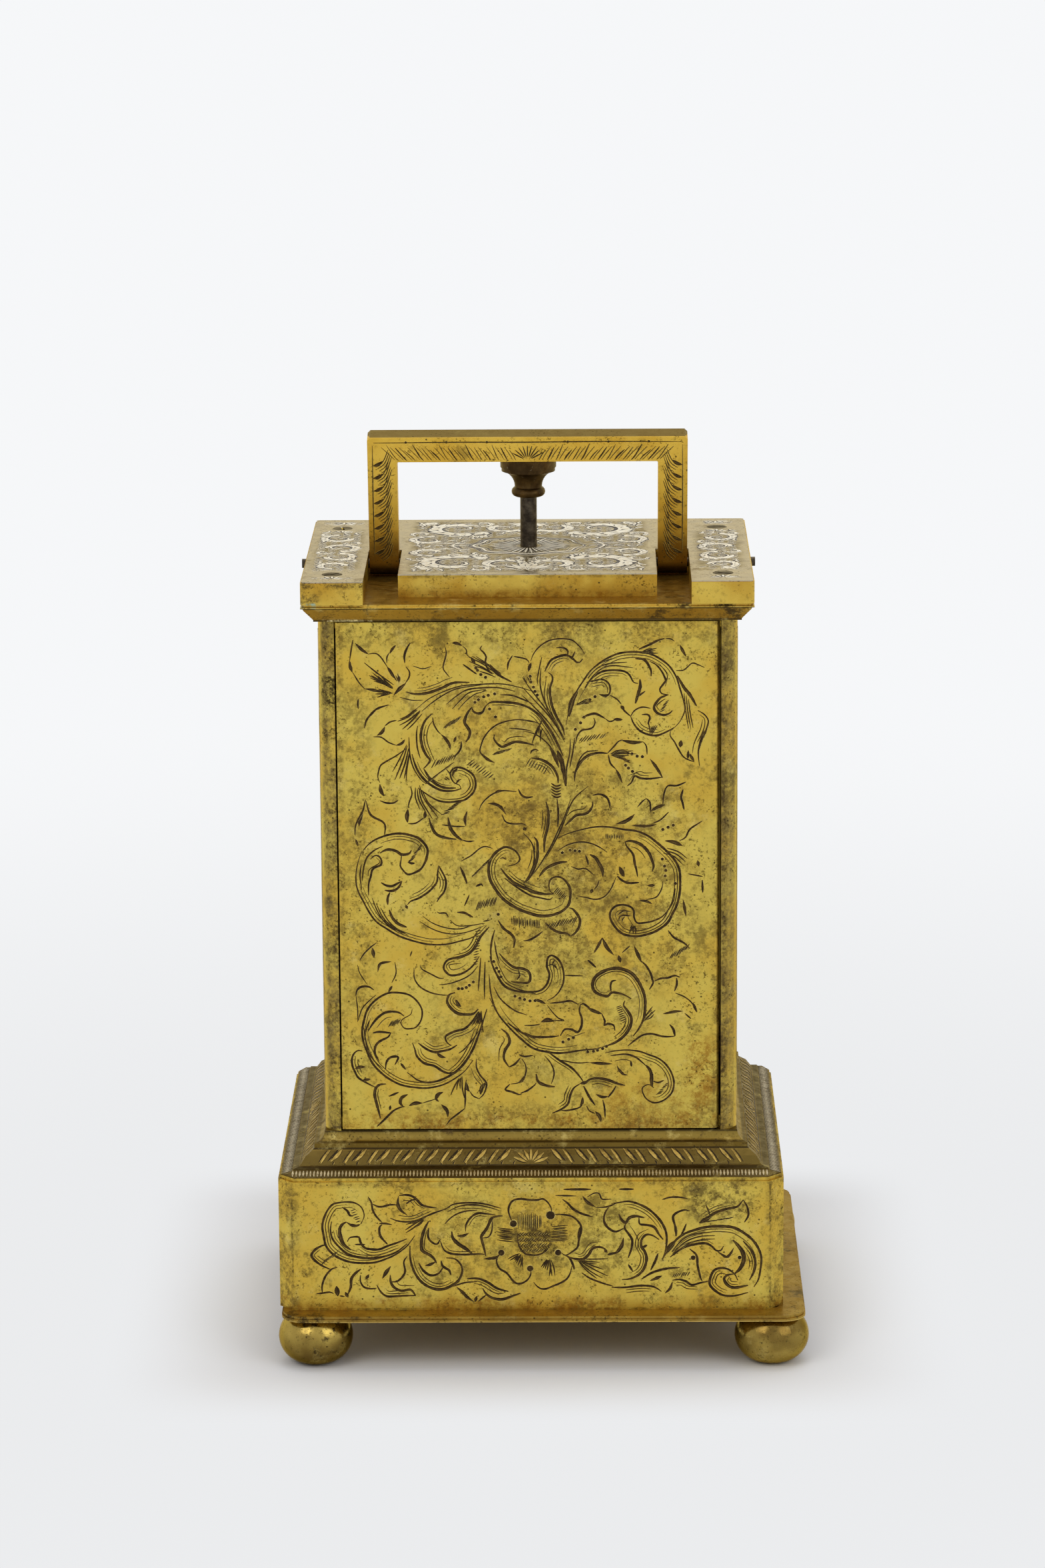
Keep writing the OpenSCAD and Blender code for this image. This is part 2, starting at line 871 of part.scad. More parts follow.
// Cannon pinion, twelve leaves, running on the centre arbor's front end.
module cannon_pinion() {
  color(steel)
    at_case()
      along_y(0, front_in + mov_t + 0.3, centre_z)
        difference() {
          union() {
            pinion(12, 0.5, 1.6, 0);
            cylinder(r = 1.0, h = dial_y + dial_t + 2.5 - (front_in + mov_t + 0.3), $fn = 32);
          }
          translate([0, 0, -1])
            cylinder(r = 0.6, h = 30, $fn = 24);
        }
}

// Minute wheel of 36 teeth with a pinion of ten leaves, on a stud in the front plate.
module minute_wheel() {
  color(yellow_brass)
    at_case()
      along_y(motion_x, front_in + mov_t + 0.35, centre_z)
        difference() {
          union() {
            train_wheel(36, 0.5, 1.2, 4, 5);
            cylinder(r = 1.9, h = 1.3, $fn = 32);
            translate([0, 0, 1.2])
              pinion(10, 0.48, 1.5, 18);
          }
          translate([0, 0, -1])
            cylinder(r = 0.8 + run_fit, h = 5, $fn = 24);
        }
}

// Hour wheel of 40 teeth whose pipe carries the hour hand.
module hour_wheel() {
  color(yellow_brass)
    at_case()
      along_y(0, front_in + mov_t + 2.1, centre_z)
        difference() {
          union() {
            train_wheel(40, 0.48, 0.9, 4, 0);
            cylinder(r = 1.9, h = 0.9, $fn = 32);
            cylinder(r = 1.45, h = dial_y + dial_t + 1.5 - (front_in + mov_t + 2.1), $fn = 32);
          }
          translate([0, 0, -1])
            cylinder(r = 1.0 + run_fit, h = 12, $fn = 32);
        }
}

// Outline of a movement plate with its pivot holes.
module mov_plate(y) {
  difference() {
    translate([-mov_w / 2, y, mould_z])
      cube([mov_w, mov_t, mov_h]);
    for (p = [[0, centre_z], [third_x, third_z], [0, contrate_z], [16, centre_z + 9.2], [21, centre_z + 17.4],
        [15.5, centre_z + 20.9]])
      along_y(p[0], y - 1, p[1])
        cylinder(r = 0.4 + still_fit, h = mov_t + 2, $fn = 24);
    for (sx = [-1, 1])
      along_y(sx * barrel_x, y - 1, barrel_z)
        cylinder(r = 1.7 + run_fit, h = mov_t + 2, $fn = 32);
    for (sx = [-1, 1])
      for (z = [pillar_low, pillar_high])
        along_y(sx * pillar_x, y - 1, z)
          cylinder(r = 0.7 + still_fit, h = mov_t + 2, $fn = 24);
  }
}

module back_plate() {
  color(yellow_brass)
    at_case()
      difference() {
        mov_plate(back_in - mov_t);
        along_y(hammer_x, back_in - mov_t - 1, hammer_z)
          cylinder(r = 0.8 + run_fit, h = mov_t + 2, $fn = 24);
        along_y(0, back_in - mov_t - 1, bell_z)
          cylinder(r = 1.2 + still_fit, h = mov_t + 2, $fn = 24);
      }
}

module front_plate() {
  color(yellow_brass)
    at_case()
      union() {
        mov_plate(front_in);
        along_y(motion_x, front_in, centre_z)
          cylinder(r = 0.8, h = mov_t + 3.4, $fn = 24);
      }
}

// Four turned pillars between the plates.
module pillars() {
  color(yellow_brass)
    at_case()
      for (sx = [-1, 1])
        for (z = [pillar_low, pillar_high])
          along_y(sx * pillar_x, back_in, z)
            difference() {
              union() {
                cylinder(r = 1.6, h = mov_gap, $fn = 32);
                cylinder(r = 2.2, h = 2, $fn = 32);
                translate([0, 0, mov_gap - 2])
                  cylinder(r = 2.2, h = 2, $fn = 32);
                translate([0, 0, mov_gap / 2 - 1])
                  cylinder(r = 2.0, h = 2, $fn = 32);
              }
              translate([0, 0, -1])
                cylinder(r = 0.7 + still_fit, h = 5, $fn = 24);
              translate([0, 0, mov_gap - 4])
                cylinder(r = 0.7 + still_fit, h = 5, $fn = 24);
            }
}

// Slotted screws that hold the plates to the pillars.
module pillar_screws() {
  color(blue_steel)
    at_case()
      for (sx = [-1, 1])
        for (z = [pillar_low, pillar_high])
          for (s = [0, 1])
            translate([sx * pillar_x, s == 0 ? back_in - mov_t : front_in + mov_t, z])
              rotate([s == 0 ? -90 : 90, 0, 0])
                difference() {
                  union() {
                    translate([0, 0, -1])
                      cylinder(r = 1.6, h = 1, $fn = 32);
                    cylinder(r = 0.7, h = mov_t + 3, $fn = 24);
                  }
                  translate([-3, -0.25, -2])
                    cube([6, 0.5, 1.4]);
                }
}

// Spring barrel with a toothed rim and a bore for its arbor.
module one_barrel(sx, rim_up, phase) {
  color(yellow_brass)
    at_case()
      along_y(sx * barrel_x, back_in + 0.5, barrel_z)
        difference() {
          union() {
            cylinder(r = 12.9, h = 12, $fn = 64);
            translate([0, 0, rim_up])
              rotate([0, 0, phase])
                linear_extrude(1.4)
                  gear_outline(72, 0.4);
          }
          translate([0, 0, 1])
            difference() {
              cylinder(r = 12.2, h = 9.8, $fn = 64);
              cylinder(r = 3, h = 9.8, $fn = 32);
            }
          translate([0, 0, -1])
            cylinder(r = 1.7 + run_fit, h = 14, $fn = 32);
        }
}

module going_barrel() {
  one_barrel(-1, 10.6, 3.23);
}

module strike_barrel() {
  one_barrel(1, 0, 3.413);
}

// Winding arbor with a square end at the back.
module one_winding_arbor(sx) {
  color(steel)
    at_case()
      union() {
        along_y(sx * barrel_x, back_in - mov_t - 1.5, barrel_z)
          cylinder(r = 1.7, h = mov_gap + 2 * mov_t + 1.8, $fn = 32);
        translate([sx * barrel_x - square_s, back_in - mov_t - 8, barrel_z - square_s])
          cube([2 * square_s, 7, 2 * square_s]);
      }
}

module going_arbor() {
  one_winding_arbor(-1);
}

module strike_arbor() {
  one_winding_arbor(1);
}

module centre_wheel() {
  color(yellow_brass)
    at_case()
      union() {
        along_y(0, 0, centre_z)
          arbor(0.9);
        along_y(0, front_in + mov_t - 0.1, centre_z)
          cylinder(r = 0.4, h = 2, $fn = 24);
        along_y(0, 0.1, centre_z)
          pinion(12, 0.4, 1.8, 18.23);
        along_y(0, 5.4, centre_z)
          train_wheel(64, 0.35, 1, 4, 0);
      }
}

module third_wheel() {
  color(yellow_brass)
    at_case()
      union() {
        along_y(third_x, 0, third_z)
          arbor(0.7);
        along_y(third_x, 4.9, third_z)
          pinion(8, 0.35, 1.9, 33.75);
        along_y(third_x, 2.8, third_z)
          train_wheel(60, 0.3, 0.9, 4, 1.34);
      }
}

// Contrate wheel, whose teeth stand up from its rim.
module contrate_wheel() {
  color(yellow_brass)
    at_case()
      union() {
        along_y(0, 0, contrate_z)
          arbor(0.6);
        along_y(0, 2.5, contrate_z)
          pinion(8, 0.3, 1.5, 20.84);
        along_y(0, -4, contrate_z)
          difference() {
            cylinder(r = 6, h = 1, $fn = 48);
            translate([0, 0, -1])
              difference() {
                cylinder(r = 5, h = 3, $fn = 48);
                cylinder(r = 1.6, h = 3, $fn = 24);
                for (s = [0:3])
                  rotate([0, 0, s * 90])
                    translate([0, -0.4, 0])
                      cube([5.5, 0.8, 3]);
              }
          }
        for (i = [0:35])
          along_y(0, -5.1, contrate_z)
            rotate([0, 0, i * 10 + 5])
              translate([5.3, -0.2, 0])
                cube([0.65, 0.4, 1.3]);
      }
}

// Escape wheel and its upright pinion below the platform.
module escape_wheel() {
  color(steel)
    at_case()
      translate([0, -6.0, 0])
        union() {
          translate([0, 0, contrate_z + 4.5])
            pinion(6, 0.3, 2, 30);
          translate([0, 0, contrate_z + 3.5])
            cylinder(r = 0.4, h = plate_top + 0.9 - contrate_z - 3.5, $fn = 24);
          translate([0, 0, plate_top - 1.4])
            linear_extrude(0.5)
              difference() {
                polygon([for (i = [0:29]) let (r = i % 2 == 0 ? 3.6 : 2.9) [r * cos(i * 12), r * sin(i * 12)]]);
                difference() {
                  circle(r = 2.3, $fn = 32);
                  circle(r = 0.9, $fn = 24);
                  square([8, 0.5], center = true);
                  square([0.5, 8], center = true);
                }
              }
        }
}

// Platform on top of the plates, with a potence that holds the escape wheel's lower pivot.
module platform() {
  color(yellow_brass)
    at_case()
      difference() {
        union() {
          translate([-12, back_in - 1, plate_top])
            cube([24, mov_gap + 2, 1.2]);
          translate([-1.5, back_in + 0.1, contrate_z + 3])
            cube([3, 0.6, plate_top - contrate_z - 2.5]);
          translate([-1.5, back_in + 0.1, contrate_z + 3])
            cube([3, 5, 1]);
        }
        translate([0, -6, contrate_z])
          cylinder(r = 0.4 + run_fit, h = 20, $fn = 24);
        translate([3, 1, plate_top - 1])
          cylinder(r = 0.3 + run_fit, h = 4, $fn = 24);
      }
}

module balance() {
  color(yellow_brass)
    at_case()
      translate([3, 1, 0])
        union() {
          translate([0, 0, plate_top + 0.6])
            cylinder(r = 0.3, h = 3.7, $fn = 24);
          translate([0, 0, plate_top + 1.6])
            difference() {
              cylinder(r = balance_r, h = 0.7, $fn = 48);
              translate([0, 0, -1])
                difference() {
                  cylinder(r = balance_r - 0.8, h = 3, $fn = 48);
                  cylinder(r = 0.9, h = 3, $fn = 24);
                  for (s = [0:2])
                    rotate([0, 0, s * 120])
                      translate([0, -0.35, 0])
                        cube([balance_r, 0.7, 3]);
                }
            }
        }
}

// Balance spring, drawn as fine rings joined by a short strip.
module balance_spring() {
  color(blue_steel)
    at_case()
      translate([3, 1, plate_top + 2.7])
        union() {
          for (r = [1.2:0.6:3.6])
            difference() {
              cylinder(r = r, h = 0.25, $fn = 32);
              translate([0, 0, -1])
                cylinder(r = r - 0.14, h = 3, $fn = 32);
            }
          translate([0.5, -0.07, 0])
            cube([3.1, 0.14, 0.25]);
        }
}

// Cock that holds the balance's upper pivot.
module balance_cock() {
  color(yellow_brass)
    at_case()
      difference() {
        union() {
          translate([-8.5, -0.8, plate_top + 1.2])
            cube([3.6, 3.6, 2.9]);
          translate([-8.5, -0.8, plate_top + 3.4])
            cube([11.5, 3.6, 0.9]);
          translate([3, 1, plate_top + 3.4])
            cylinder(r = 1.8, h = 0.9, $fn = 32);
        }
        translate([3, 1, plate_top + 3])
          cylinder(r = 0.3 + run_fit, h = 3, $fn = 24);
      }
}

module pin_wheel() {
  color(yellow_brass)
    at_case()
      union() {
        along_y(16, 0, centre_z + 9.2)
          arbor(0.7);
        along_y(16, back_in + 0.3, centre_z + 9.2)
          pinion(12, 0.4, 1.8, 18.413);
        along_y(16, 3.0, centre_z + 9.2)
          train_wheel(56, 0.3, 0.9, 4, 5.656);
        for (i = [0:7])
          along_y(16, 3.8, centre_z + 9.2)
            rotate([0, 0, i * 45])
              translate([6.9, 0, 0])
                cylinder(r = 0.3, h = 1.2, $fn = 16);
      }
}

module gathering_wheel() {
  color(yellow_brass)
    at_case()
      union() {
        along_y(21, 0, centre_z + 17.4)
          arbor(0.6);
        along_y(21, 2.6, centre_z + 17.4)
          pinion(8, 0.3, 1.6, 8.87);
        along_y(21, -1, centre_z + 17.4)
          train_wheel(44, 0.25, 0.8, 4, 7.925);
      }
}

// Air brake of the strike train.
module fly() {
  color(steel)
    at_case()
      along_y(15.5, 0, centre_z + 20.9)
        union() {
          arbor(0.5);
          translate([0, 0, -1.3])
            pinion(6, 0.25, 1.4, 2.47);
          translate([-4.4, -0.25, -8])
            cube([8.8, 0.5, 5]);
        }
}

// Bell, an open shell on its stand.
module bell() {
  color(silver)
    at_case()
      along_y(0, back_in - mov_t - 10, bell_z)
        rotate_extrude($fn = 64)
          difference() {
            union() {
              intersection() {
                translate([bell_r - 7, 7])
                  circle(r = 7, $fn = 64);
                square([bell_r, 7]);
              }
              square([bell_r - 7, 7]);
            }
            intersection() {
              translate([bell_r - 7, 7])
                circle(r = 6.1, $fn = 64);
              translate([0, 0.9])
                square([bell_r, 7]);
            }
            translate([0, 0.9])
              square([bell_r - 7, 8]);
            square([1.2 + still_fit, 3]);
          }
}

module bell_stand() {
  color(steel)
    at_case()
      along_y(0, back_in - mov_t - 11.2, bell_z)
        union() {
          cylinder(r = 1.2, h = 11.2 + mov_t, $fn = 24);
          cylinder(r = 2.4, h = 1.2, $fn = 6);
          translate([0, 0, 2.1])
            cylinder(r = 2, h = 9.1, $fn = 24);
        }
}

// Hammer on its arbor behind the back plate.
module hammer() {
  color(steel)
    at_case()
      union() {
        along_y(hammer_x, back_in - mov_t - 6, hammer_z)
          cylinder(r = 0.8, h = mov_t + 6 + 0.2, $fn = 24);
        along_y(hammer_x, back_in - mov_t - 5, hammer_z)
          cylinder(r = 1.8, h = 1.6, $fn = 32);
        translate([hammer_x, back_in - mov_t - 4.6, hammer_z])
          rotate([0, 21, 0])
            translate([-0.7, 0, -bell_r])
              cube([1.4, 0.8, bell_r]);
        translate([hammer_x - 5.2, back_in - mov_t - 4.2, bell_z + 1.1])
          rotate([0, -90, 0])
            cylinder(r = 1.5, h = 3.2, $fn = 32);
      }
}

base_plate();
foot_back_left();
foot_back_right();
foot_front_left();
foot_front_right();
plinth();
plinth_moulding();
case_body();
cornice();
top_slab();
top_screw_bl();
top_screw_br();
top_screw_fl();
top_screw_fr();
handle();
handle_pin_left();
handle_pin_right();
back_door();
door_pin_top();
door_pin_bottom();
repeat_stem();
repeat_knob();
repeat_spring();
repeat_bridge();
front_frame();
front_glass();
dial_plate();
chapter_ring();
dial_feet();
hour_hand();
minute_hand();
cannon_pinion();
hour_wheel();
minute_wheel();
back_plate();
front_plate();
pillars();
pillar_screws();
going_barrel();
strike_barrel();
going_arbor();
strike_arbor();
centre_wheel();
third_wheel();
contrate_wheel();
escape_wheel();
platform();
balance();
balance_spring();
balance_cock();
pin_wheel();
gathering_wheel();
fly();
bell();
bell_stand();
hammer();
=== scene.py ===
import json
import math
import random

import bpy
from mathutils import Matrix, Vector

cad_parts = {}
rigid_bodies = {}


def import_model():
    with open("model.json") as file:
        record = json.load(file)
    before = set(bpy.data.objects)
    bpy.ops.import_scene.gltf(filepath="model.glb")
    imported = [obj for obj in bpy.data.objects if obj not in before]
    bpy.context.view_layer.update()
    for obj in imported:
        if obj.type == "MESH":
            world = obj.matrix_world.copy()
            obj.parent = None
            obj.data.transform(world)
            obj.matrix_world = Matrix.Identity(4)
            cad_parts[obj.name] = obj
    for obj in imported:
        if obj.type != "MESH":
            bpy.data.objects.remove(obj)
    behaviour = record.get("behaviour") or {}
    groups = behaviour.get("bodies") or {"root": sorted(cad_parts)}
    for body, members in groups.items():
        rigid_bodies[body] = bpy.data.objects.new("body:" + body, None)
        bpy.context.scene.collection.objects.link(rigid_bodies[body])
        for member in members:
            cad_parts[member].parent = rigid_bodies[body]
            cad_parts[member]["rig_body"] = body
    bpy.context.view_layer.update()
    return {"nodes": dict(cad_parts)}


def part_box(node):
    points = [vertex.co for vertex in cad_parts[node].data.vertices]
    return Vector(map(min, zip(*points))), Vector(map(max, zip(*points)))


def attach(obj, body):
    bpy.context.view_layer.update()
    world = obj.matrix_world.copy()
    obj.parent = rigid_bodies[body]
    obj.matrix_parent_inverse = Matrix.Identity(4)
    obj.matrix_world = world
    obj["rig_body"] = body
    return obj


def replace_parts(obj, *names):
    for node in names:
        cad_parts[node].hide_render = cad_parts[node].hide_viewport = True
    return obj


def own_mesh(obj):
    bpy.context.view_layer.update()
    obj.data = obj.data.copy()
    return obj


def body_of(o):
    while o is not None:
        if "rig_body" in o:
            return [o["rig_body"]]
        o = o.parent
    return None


# Travel clock with a gilt brass case, seen from its engraved back door.
# Lengths in the lists are millimetres of the shared frame.

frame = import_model()
scene = bpy.context.scene

MM = 0.001

# The middle of the case and its half sizes, then heights above the ground.
CASE_X = -2.1
CASE_Y = 1.5
BODY_SIDE = 36.0
BODY_DEPTH = 26.5
PLINTH_SIDE = 44.0
PLINTH_DEPTH = 34.5
DOOR_FACE = CASE_Y - BODY_DEPTH
PLINTH_FACE = CASE_Y - PLINTH_DEPTH
DIAL_FACE = CASE_Y + 17.72
PLINTH_BOTTOM = 9.8
PLINTH_TOP = 33.7
BODY_BOTTOM = 40.0
SLAB_TOP = 138.15
WINDOW_MIDDLE = 85.45

# The handle's pivot, its lean in the photograph and half its thickness.
PIVOT_Y = CASE_Y - 3.0
PIVOT_Z = 136.4
HANDLE_LEAN = math.radians(12)
HANDLE_HALF = 1.95

# The slab's top, from the middle of the case: how far its hatched middle reaches to each side, the
# hatched strip outside each slot, the two rows of screws and the room they keep, and the repeat
# stem with the sunburst round it.
MIDDLE_GROUND = 20.6
SIDE_GROUND = (29.4, 37.2)
SCREW_MIDDLE = -0.65
SCREW_REACH = 21.45
SCREW_ROOM = 2.6
STEM_Y = 3.4
SUNBURST = 10.4


# ---------------------------------------------------------------- finishes

def srgb(red, green, blue):
    """Linear colour from values of 0 to 255."""
    linear = []
    for value in (red, green, blue):
        c = value / 255
        linear.append(c / 12.92 if c <= 0.04045 else ((c + 0.055) / 1.055) ** 2.4)
    return (*linear, 1.0)


# How metallic a finish is: above the first it reflects in the tint of brass, and below the second
# a cut's strip hardly reflects.
BARE_METAL = 0.55
DULL_METAL = 0.35


class Finish:
    """A procedural material whose textures are placed in millimetres."""

    def __init__(self, name, metallic, roughness, seed=0.0):
        self.material = bpy.data.materials.new(name)
        self.material.use_nodes = True
        self.tree = self.material.node_tree
        self.shader = self.tree.nodes["Principled BSDF"]
        self.shader.inputs["Metallic"].default_value = metallic
        self.shader.inputs["Roughness"].default_value = roughness
        if metallic > BARE_METAL:
            self.shader.inputs["Specular Tint"].default_value = (1.0, 0.84, 0.5, 1.0)
        self.place = self.node("ShaderNodeTexCoord").outputs["Object"]
        self.seed = seed
        self.axes = None

    def node(self, kind, **settings):
        made = self.tree.nodes.new(kind)
        for key, value in settings.items():
            setattr(made, key, value)
        return made

    def join(self, source, target):
        if isinstance(source, (int, float, tuple)):
            target.default_value = source
        else:
            self.tree.links.new(source, target)

    def at(self, size, stretch=(1, 1, 1)):
        """Coordinates in which one unit is size millimetres, shifted anew at each call."""
        mapping = self.node("ShaderNodeMapping")
        mapping.inputs["Scale"].default_value = [s / (size * MM) for s in stretch]
        self.seed += 7.3
        mapping.inputs["Location"].default_value = (self.seed, self.seed * 0.7, self.seed * 1.3)
        self.join(self.place, mapping.inputs["Vector"])
        return mapping.outputs["Vector"]

    def noise(self, size, detail, stretch=(1, 1, 1), rough=0.6):
        made = self.node("ShaderNodeTexNoise")
        made.inputs["Scale"].default_value = 1.0
        made.inputs["Detail"].default_value = detail
        made.inputs["Roughness"].default_value = rough
        self.join(self.at(size, stretch), made.inputs["Vector"])
        return made.outputs["Fac"]

    def cells(self, size):
        made = self.node("ShaderNodeTexVoronoi")
        made.inputs["Scale"].default_value = 1.0
        self.join(self.at(size), made.inputs["Vector"])
        return made.outputs["Distance"]

    def ramp(self, source, low, high, start=0.0, end=1.0):
        made = self.node("ShaderNodeMapRange", interpolation_type="SMOOTHSTEP")
        self.join(source, made.inputs["Value"])
        for key, value in (("From Min", low), ("From Max", high), ("To Min", start), ("To Max", end)):
            self.join(value, made.inputs[key])
        return made.outputs["Result"]

    def maths(self, operation, first, second):
        made = self.node("ShaderNodeMath", operation=operation, use_clamp=True)
        self.join(first, made.inputs[0])
        self.join(second, made.inputs[1])
        return made.outputs[0]

    def times(self, first, second):
        return self.maths("MULTIPLY", first, second)

    def mix(self, amount, first, second):
        made = self.node("ShaderNodeMix", data_type="RGBA")
        self.join(amount, made.inputs[0])
        self.join(first, made.inputs[6])
        self.join(second, made.inputs[7])
        return made.outputs[2]

    def axis(self, index):
        """One coordinate of the shaded point: 0 across, 1 deep, 2 up."""
        if self.axes is None:
            made = self.node("ShaderNodeSeparateXYZ")
            self.join(self.place, made.inputs[0])
            self.axes = made.outputs
        return self.axes[index]

    def span(self, index, low, high, soft):
        """1 between low and high on one axis, with soft edges."""
        rise = self.ramp(self.axis(index), (low - soft) * MM, (low + soft) * MM)
        fall = self.ramp(self.axis(index), (high - soft) * MM, (high + soft) * MM, 1.0, 0.0)
        return self.times(rise, fall)

    def patch(self, x, z, soft, ragged, size):
        """A soft box in x and z, with edges broken up by noise."""
        area = self.times(self.span(0, *x, soft), self.span(2, *z, soft))
        torn = self.ramp(self.noise(size, 10.0, rough=0.8), 0.5 - ragged / 8, 0.5 + ragged / 8)
        grain = self.ramp(self.noise(0.8, 5.0, rough=0.7), 0.4, 0.58, 0.3, 1.0)
        return self.times(area, self.times(torn, grain))

    def bump(self, height, depth, distance):
        made = self.node("ShaderNodeBump")
        made.inputs["Strength"].default_value = depth
        made.inputs["Distance"].default_value = distance * MM
        self.join(height, made.inputs["Height"])
        self.join(made.outputs["Normal"], self.shader.inputs["Normal"])

    def finish(self, colour, rough=None):
        """Joins the colour, and the roughness if it varies, and gives the material."""
        self.join(colour, self.shader.inputs["Base Color"])
        if rough is not None:
            self.join(rough, self.shader.inputs["Roughness"])
        return self.material


def brass(name, gold, warm, dark, seed, pits=1.0, grime=0.5, metallic=0.8, rough=0.38, bands=(),
          patches=(), door_side=False, grounds=(), worn=0.45):
    """Old gilt brass: two tones, height bands, brown smudges, patches, fine pits and specks; some
    bands and patches paint shade, shadows and a highlight.

    bands are (z span, softness, tint, strength); patches are (x span, z span, softness, raggedness,
    size, tint, strength), kept by door_side to the faces that look toward the door; grounds are
    (x span, y span, softness, tint, strength) on the slab's top; worn is how far pale gilt shows."""
    f = Finish(name, metallic, rough, seed)
    colour = f.mix(f.ramp(f.noise(12, 3.0), 0.36, 0.64), gold, warm)
    for z, soft, tint, strength in bands:
        colour = f.mix(f.times(f.span(2, *z, soft), strength), colour, tint)
    smudge = f.ramp(f.noise(9, 12.0, rough=0.8), 0.54, 0.63)
    colour = f.mix(f.times(smudge, 1.3 * grime), colour, dark)
    film = f.ramp(f.noise(1.6, 9.0, rough=0.74), 0.55, 0.68)
    colour = f.mix(f.times(film, 0.8 * grime), colour, dark)
    pale = f.ramp(f.noise(5, 10.0, rough=0.74), 0.54, 0.7, 0.0, worn)
    colour = f.mix(pale, colour, WORN_GILT)
    for x, y, soft, tint, strength in grounds:
        top = f.span(2, SLAB_TOP - 0.15, SLAB_TOP + 0.85, 0.05)
        torn = f.ramp(f.noise(2.2, 9.0, rough=0.72), 0.36, 0.6, 0.3 * strength, strength)
        area = f.times(f.span(0, *x, soft), f.span(1, *y, soft))
        colour = f.mix(f.times(f.times(area, top), torn), colour, tint)
    where = f.ramp(f.axis(1), (DOOR_FACE + 1) * MM, (DOOR_FACE + 2) * MM, 1.0, 0.0) if door_side else 1.0
    for x, z, soft, ragged, size, tint, strength in patches:
        area = f.times(f.patch(x, z, soft, ragged, size), strength)
        colour = f.mix(f.times(area, where), colour, tint)
    crowd = f.ramp(f.noise(5.5, 3.0), 0.36, 0.66)
    pitted = f.ramp(f.noise(0.42, 2.0), 0.57, 0.68)
    pitted = f.times(f.times(pitted, crowd), 0.8 * pits)
    colour = f.mix(pitted, colour, PIT)
    speck = f.ramp(f.cells(2.2), 0.05, 0.1, 1.0, 0.0)
    colour = f.mix(f.times(speck, 0.85 * pits), colour, SPECK)
    roughness = f.ramp(f.noise(2.0, 4.0), 0.3, 0.8, rough - 0.08, rough + 0.16)
    roughness = f.maths("ADD", roughness, f.times(pitted, 0.3))
    f.bump(f.maths("SUBTRACT", f.noise(0.6, 3.0), f.times(pitted, 0.6)), 0.25, 0.06)
    return f.finish(colour, roughness)


def steel(name, light, dark, seed, rough=0.4, size=1.5):
    """Darkened or blued steel and bronze with a streaky film."""
    f = Finish(name, 0.8, rough, seed)
    colour = f.mix(f.ramp(f.noise(size, 4.0), 0.35, 0.7), dark, light)
    worn = f.ramp(f.noise(0.7, 3.0), 0.66, 0.76, 0.0, 0.5)
    colour = f.mix(worn, colour, srgb(170, 160, 135))
    roughness = f.ramp(f.noise(size, 3.0), 0.3, 0.8, rough - 0.08, rough + 0.2)
    f.bump(f.noise(0.5, 3.0), 0.2, 0.05)
    return f.finish(colour, roughness)


def dress(material, *names):
    """Gives the solids of the named nodes one material."""
    for name in names:
        for place in frame["nodes"][name].material_slots:
            place.material = material


GOLD = srgb(210, 186, 84)
WARM = srgb(206, 172, 68)
OLIVE = srgb(112, 94, 42)
BROWN = srgb(98, 76, 36)
DIRT = srgb(78, 62, 34)
# A near-black for real soot stains and for painted shade: the thin dark lines in creases, joints and under
# ledges.
SOOT_AND_SHADE = srgb(40, 30, 16)
UMBER = srgb(152, 108, 34)
SLAB_BROWN = srgb(104, 89, 52)
POST = srgb(110, 94, 58)
PALE = srgb(232, 214, 150)
VERDIGRIS = srgb(150, 178, 158)
WORN_GILT = srgb(222, 202, 122)
PIT = srgb(70, 55, 24)
SPECK = srgb(46, 36, 20)


def across(low, high):
    """A span measured from the middle of the case, in x of the frame."""
    return CASE_X + low, CASE_X + high


def deep(low, high):
    """A span measured from the middle of the case, in y of the frame."""
    return CASE_Y + low, CASE_Y + high


def raised(low, high):
    """A span measured up from the foot of the case body, in z of the frame."""
    return BODY_BOTTOM + low, BODY_BOTTOM + high


# Stains on the door, and painted shade: the cornice's painted shadow along the top and a darker lower door.
DOOR_STAINS_AND_SHADE = (
    # Painted shadow of the cornice along the top of the door.
    (across(-32, 32), raised(86.5, 92), 1.6, 0.5, 6, OLIVE, 0.75),
    (across(-16, 14), raised(40, 84), 5, 0.4, 5, BROWN, 0.6),
    (across(-6, 29), raised(26, 62), 5, 0.35, 5, BROWN, 0.7),
    (across(2, 12), raised(84, 91), 1.5, 0.3, 3, DIRT, 0.6),
    # Painted shade: the lower door made darker and more olive.
    (across(-16, 22), raised(8, 30), 4, 0.4, 5, OLIVE, 0.55),
    (across(27, 33), raised(2, 17), 1.6, 0.35, 4, UMBER, 0.8),
    (across(12, 33), raised(-1, 9), 2.5, 0.5, 5, UMBER, 0.7),
    (across(-33, 33), raised(-1, 3.0), 1.0, 0.5, 5, UMBER, 0.9),
    (across(-24, 33), raised(-1, 5.0), 1.5, 0.6, 5, BROWN, 0.6),
    (across(-32, -27), raised(10, 80), 1.5, 0.3, 5, OLIVE, 0.6),
    (across(31.6, 33.4), raised(0, 91), 0.5, 0.6, 3, BROWN, 0.8),
    (across(-33, -31.8), raised(0, 91), 0.4, 0.5, 3, BROWN, 0.7),
)
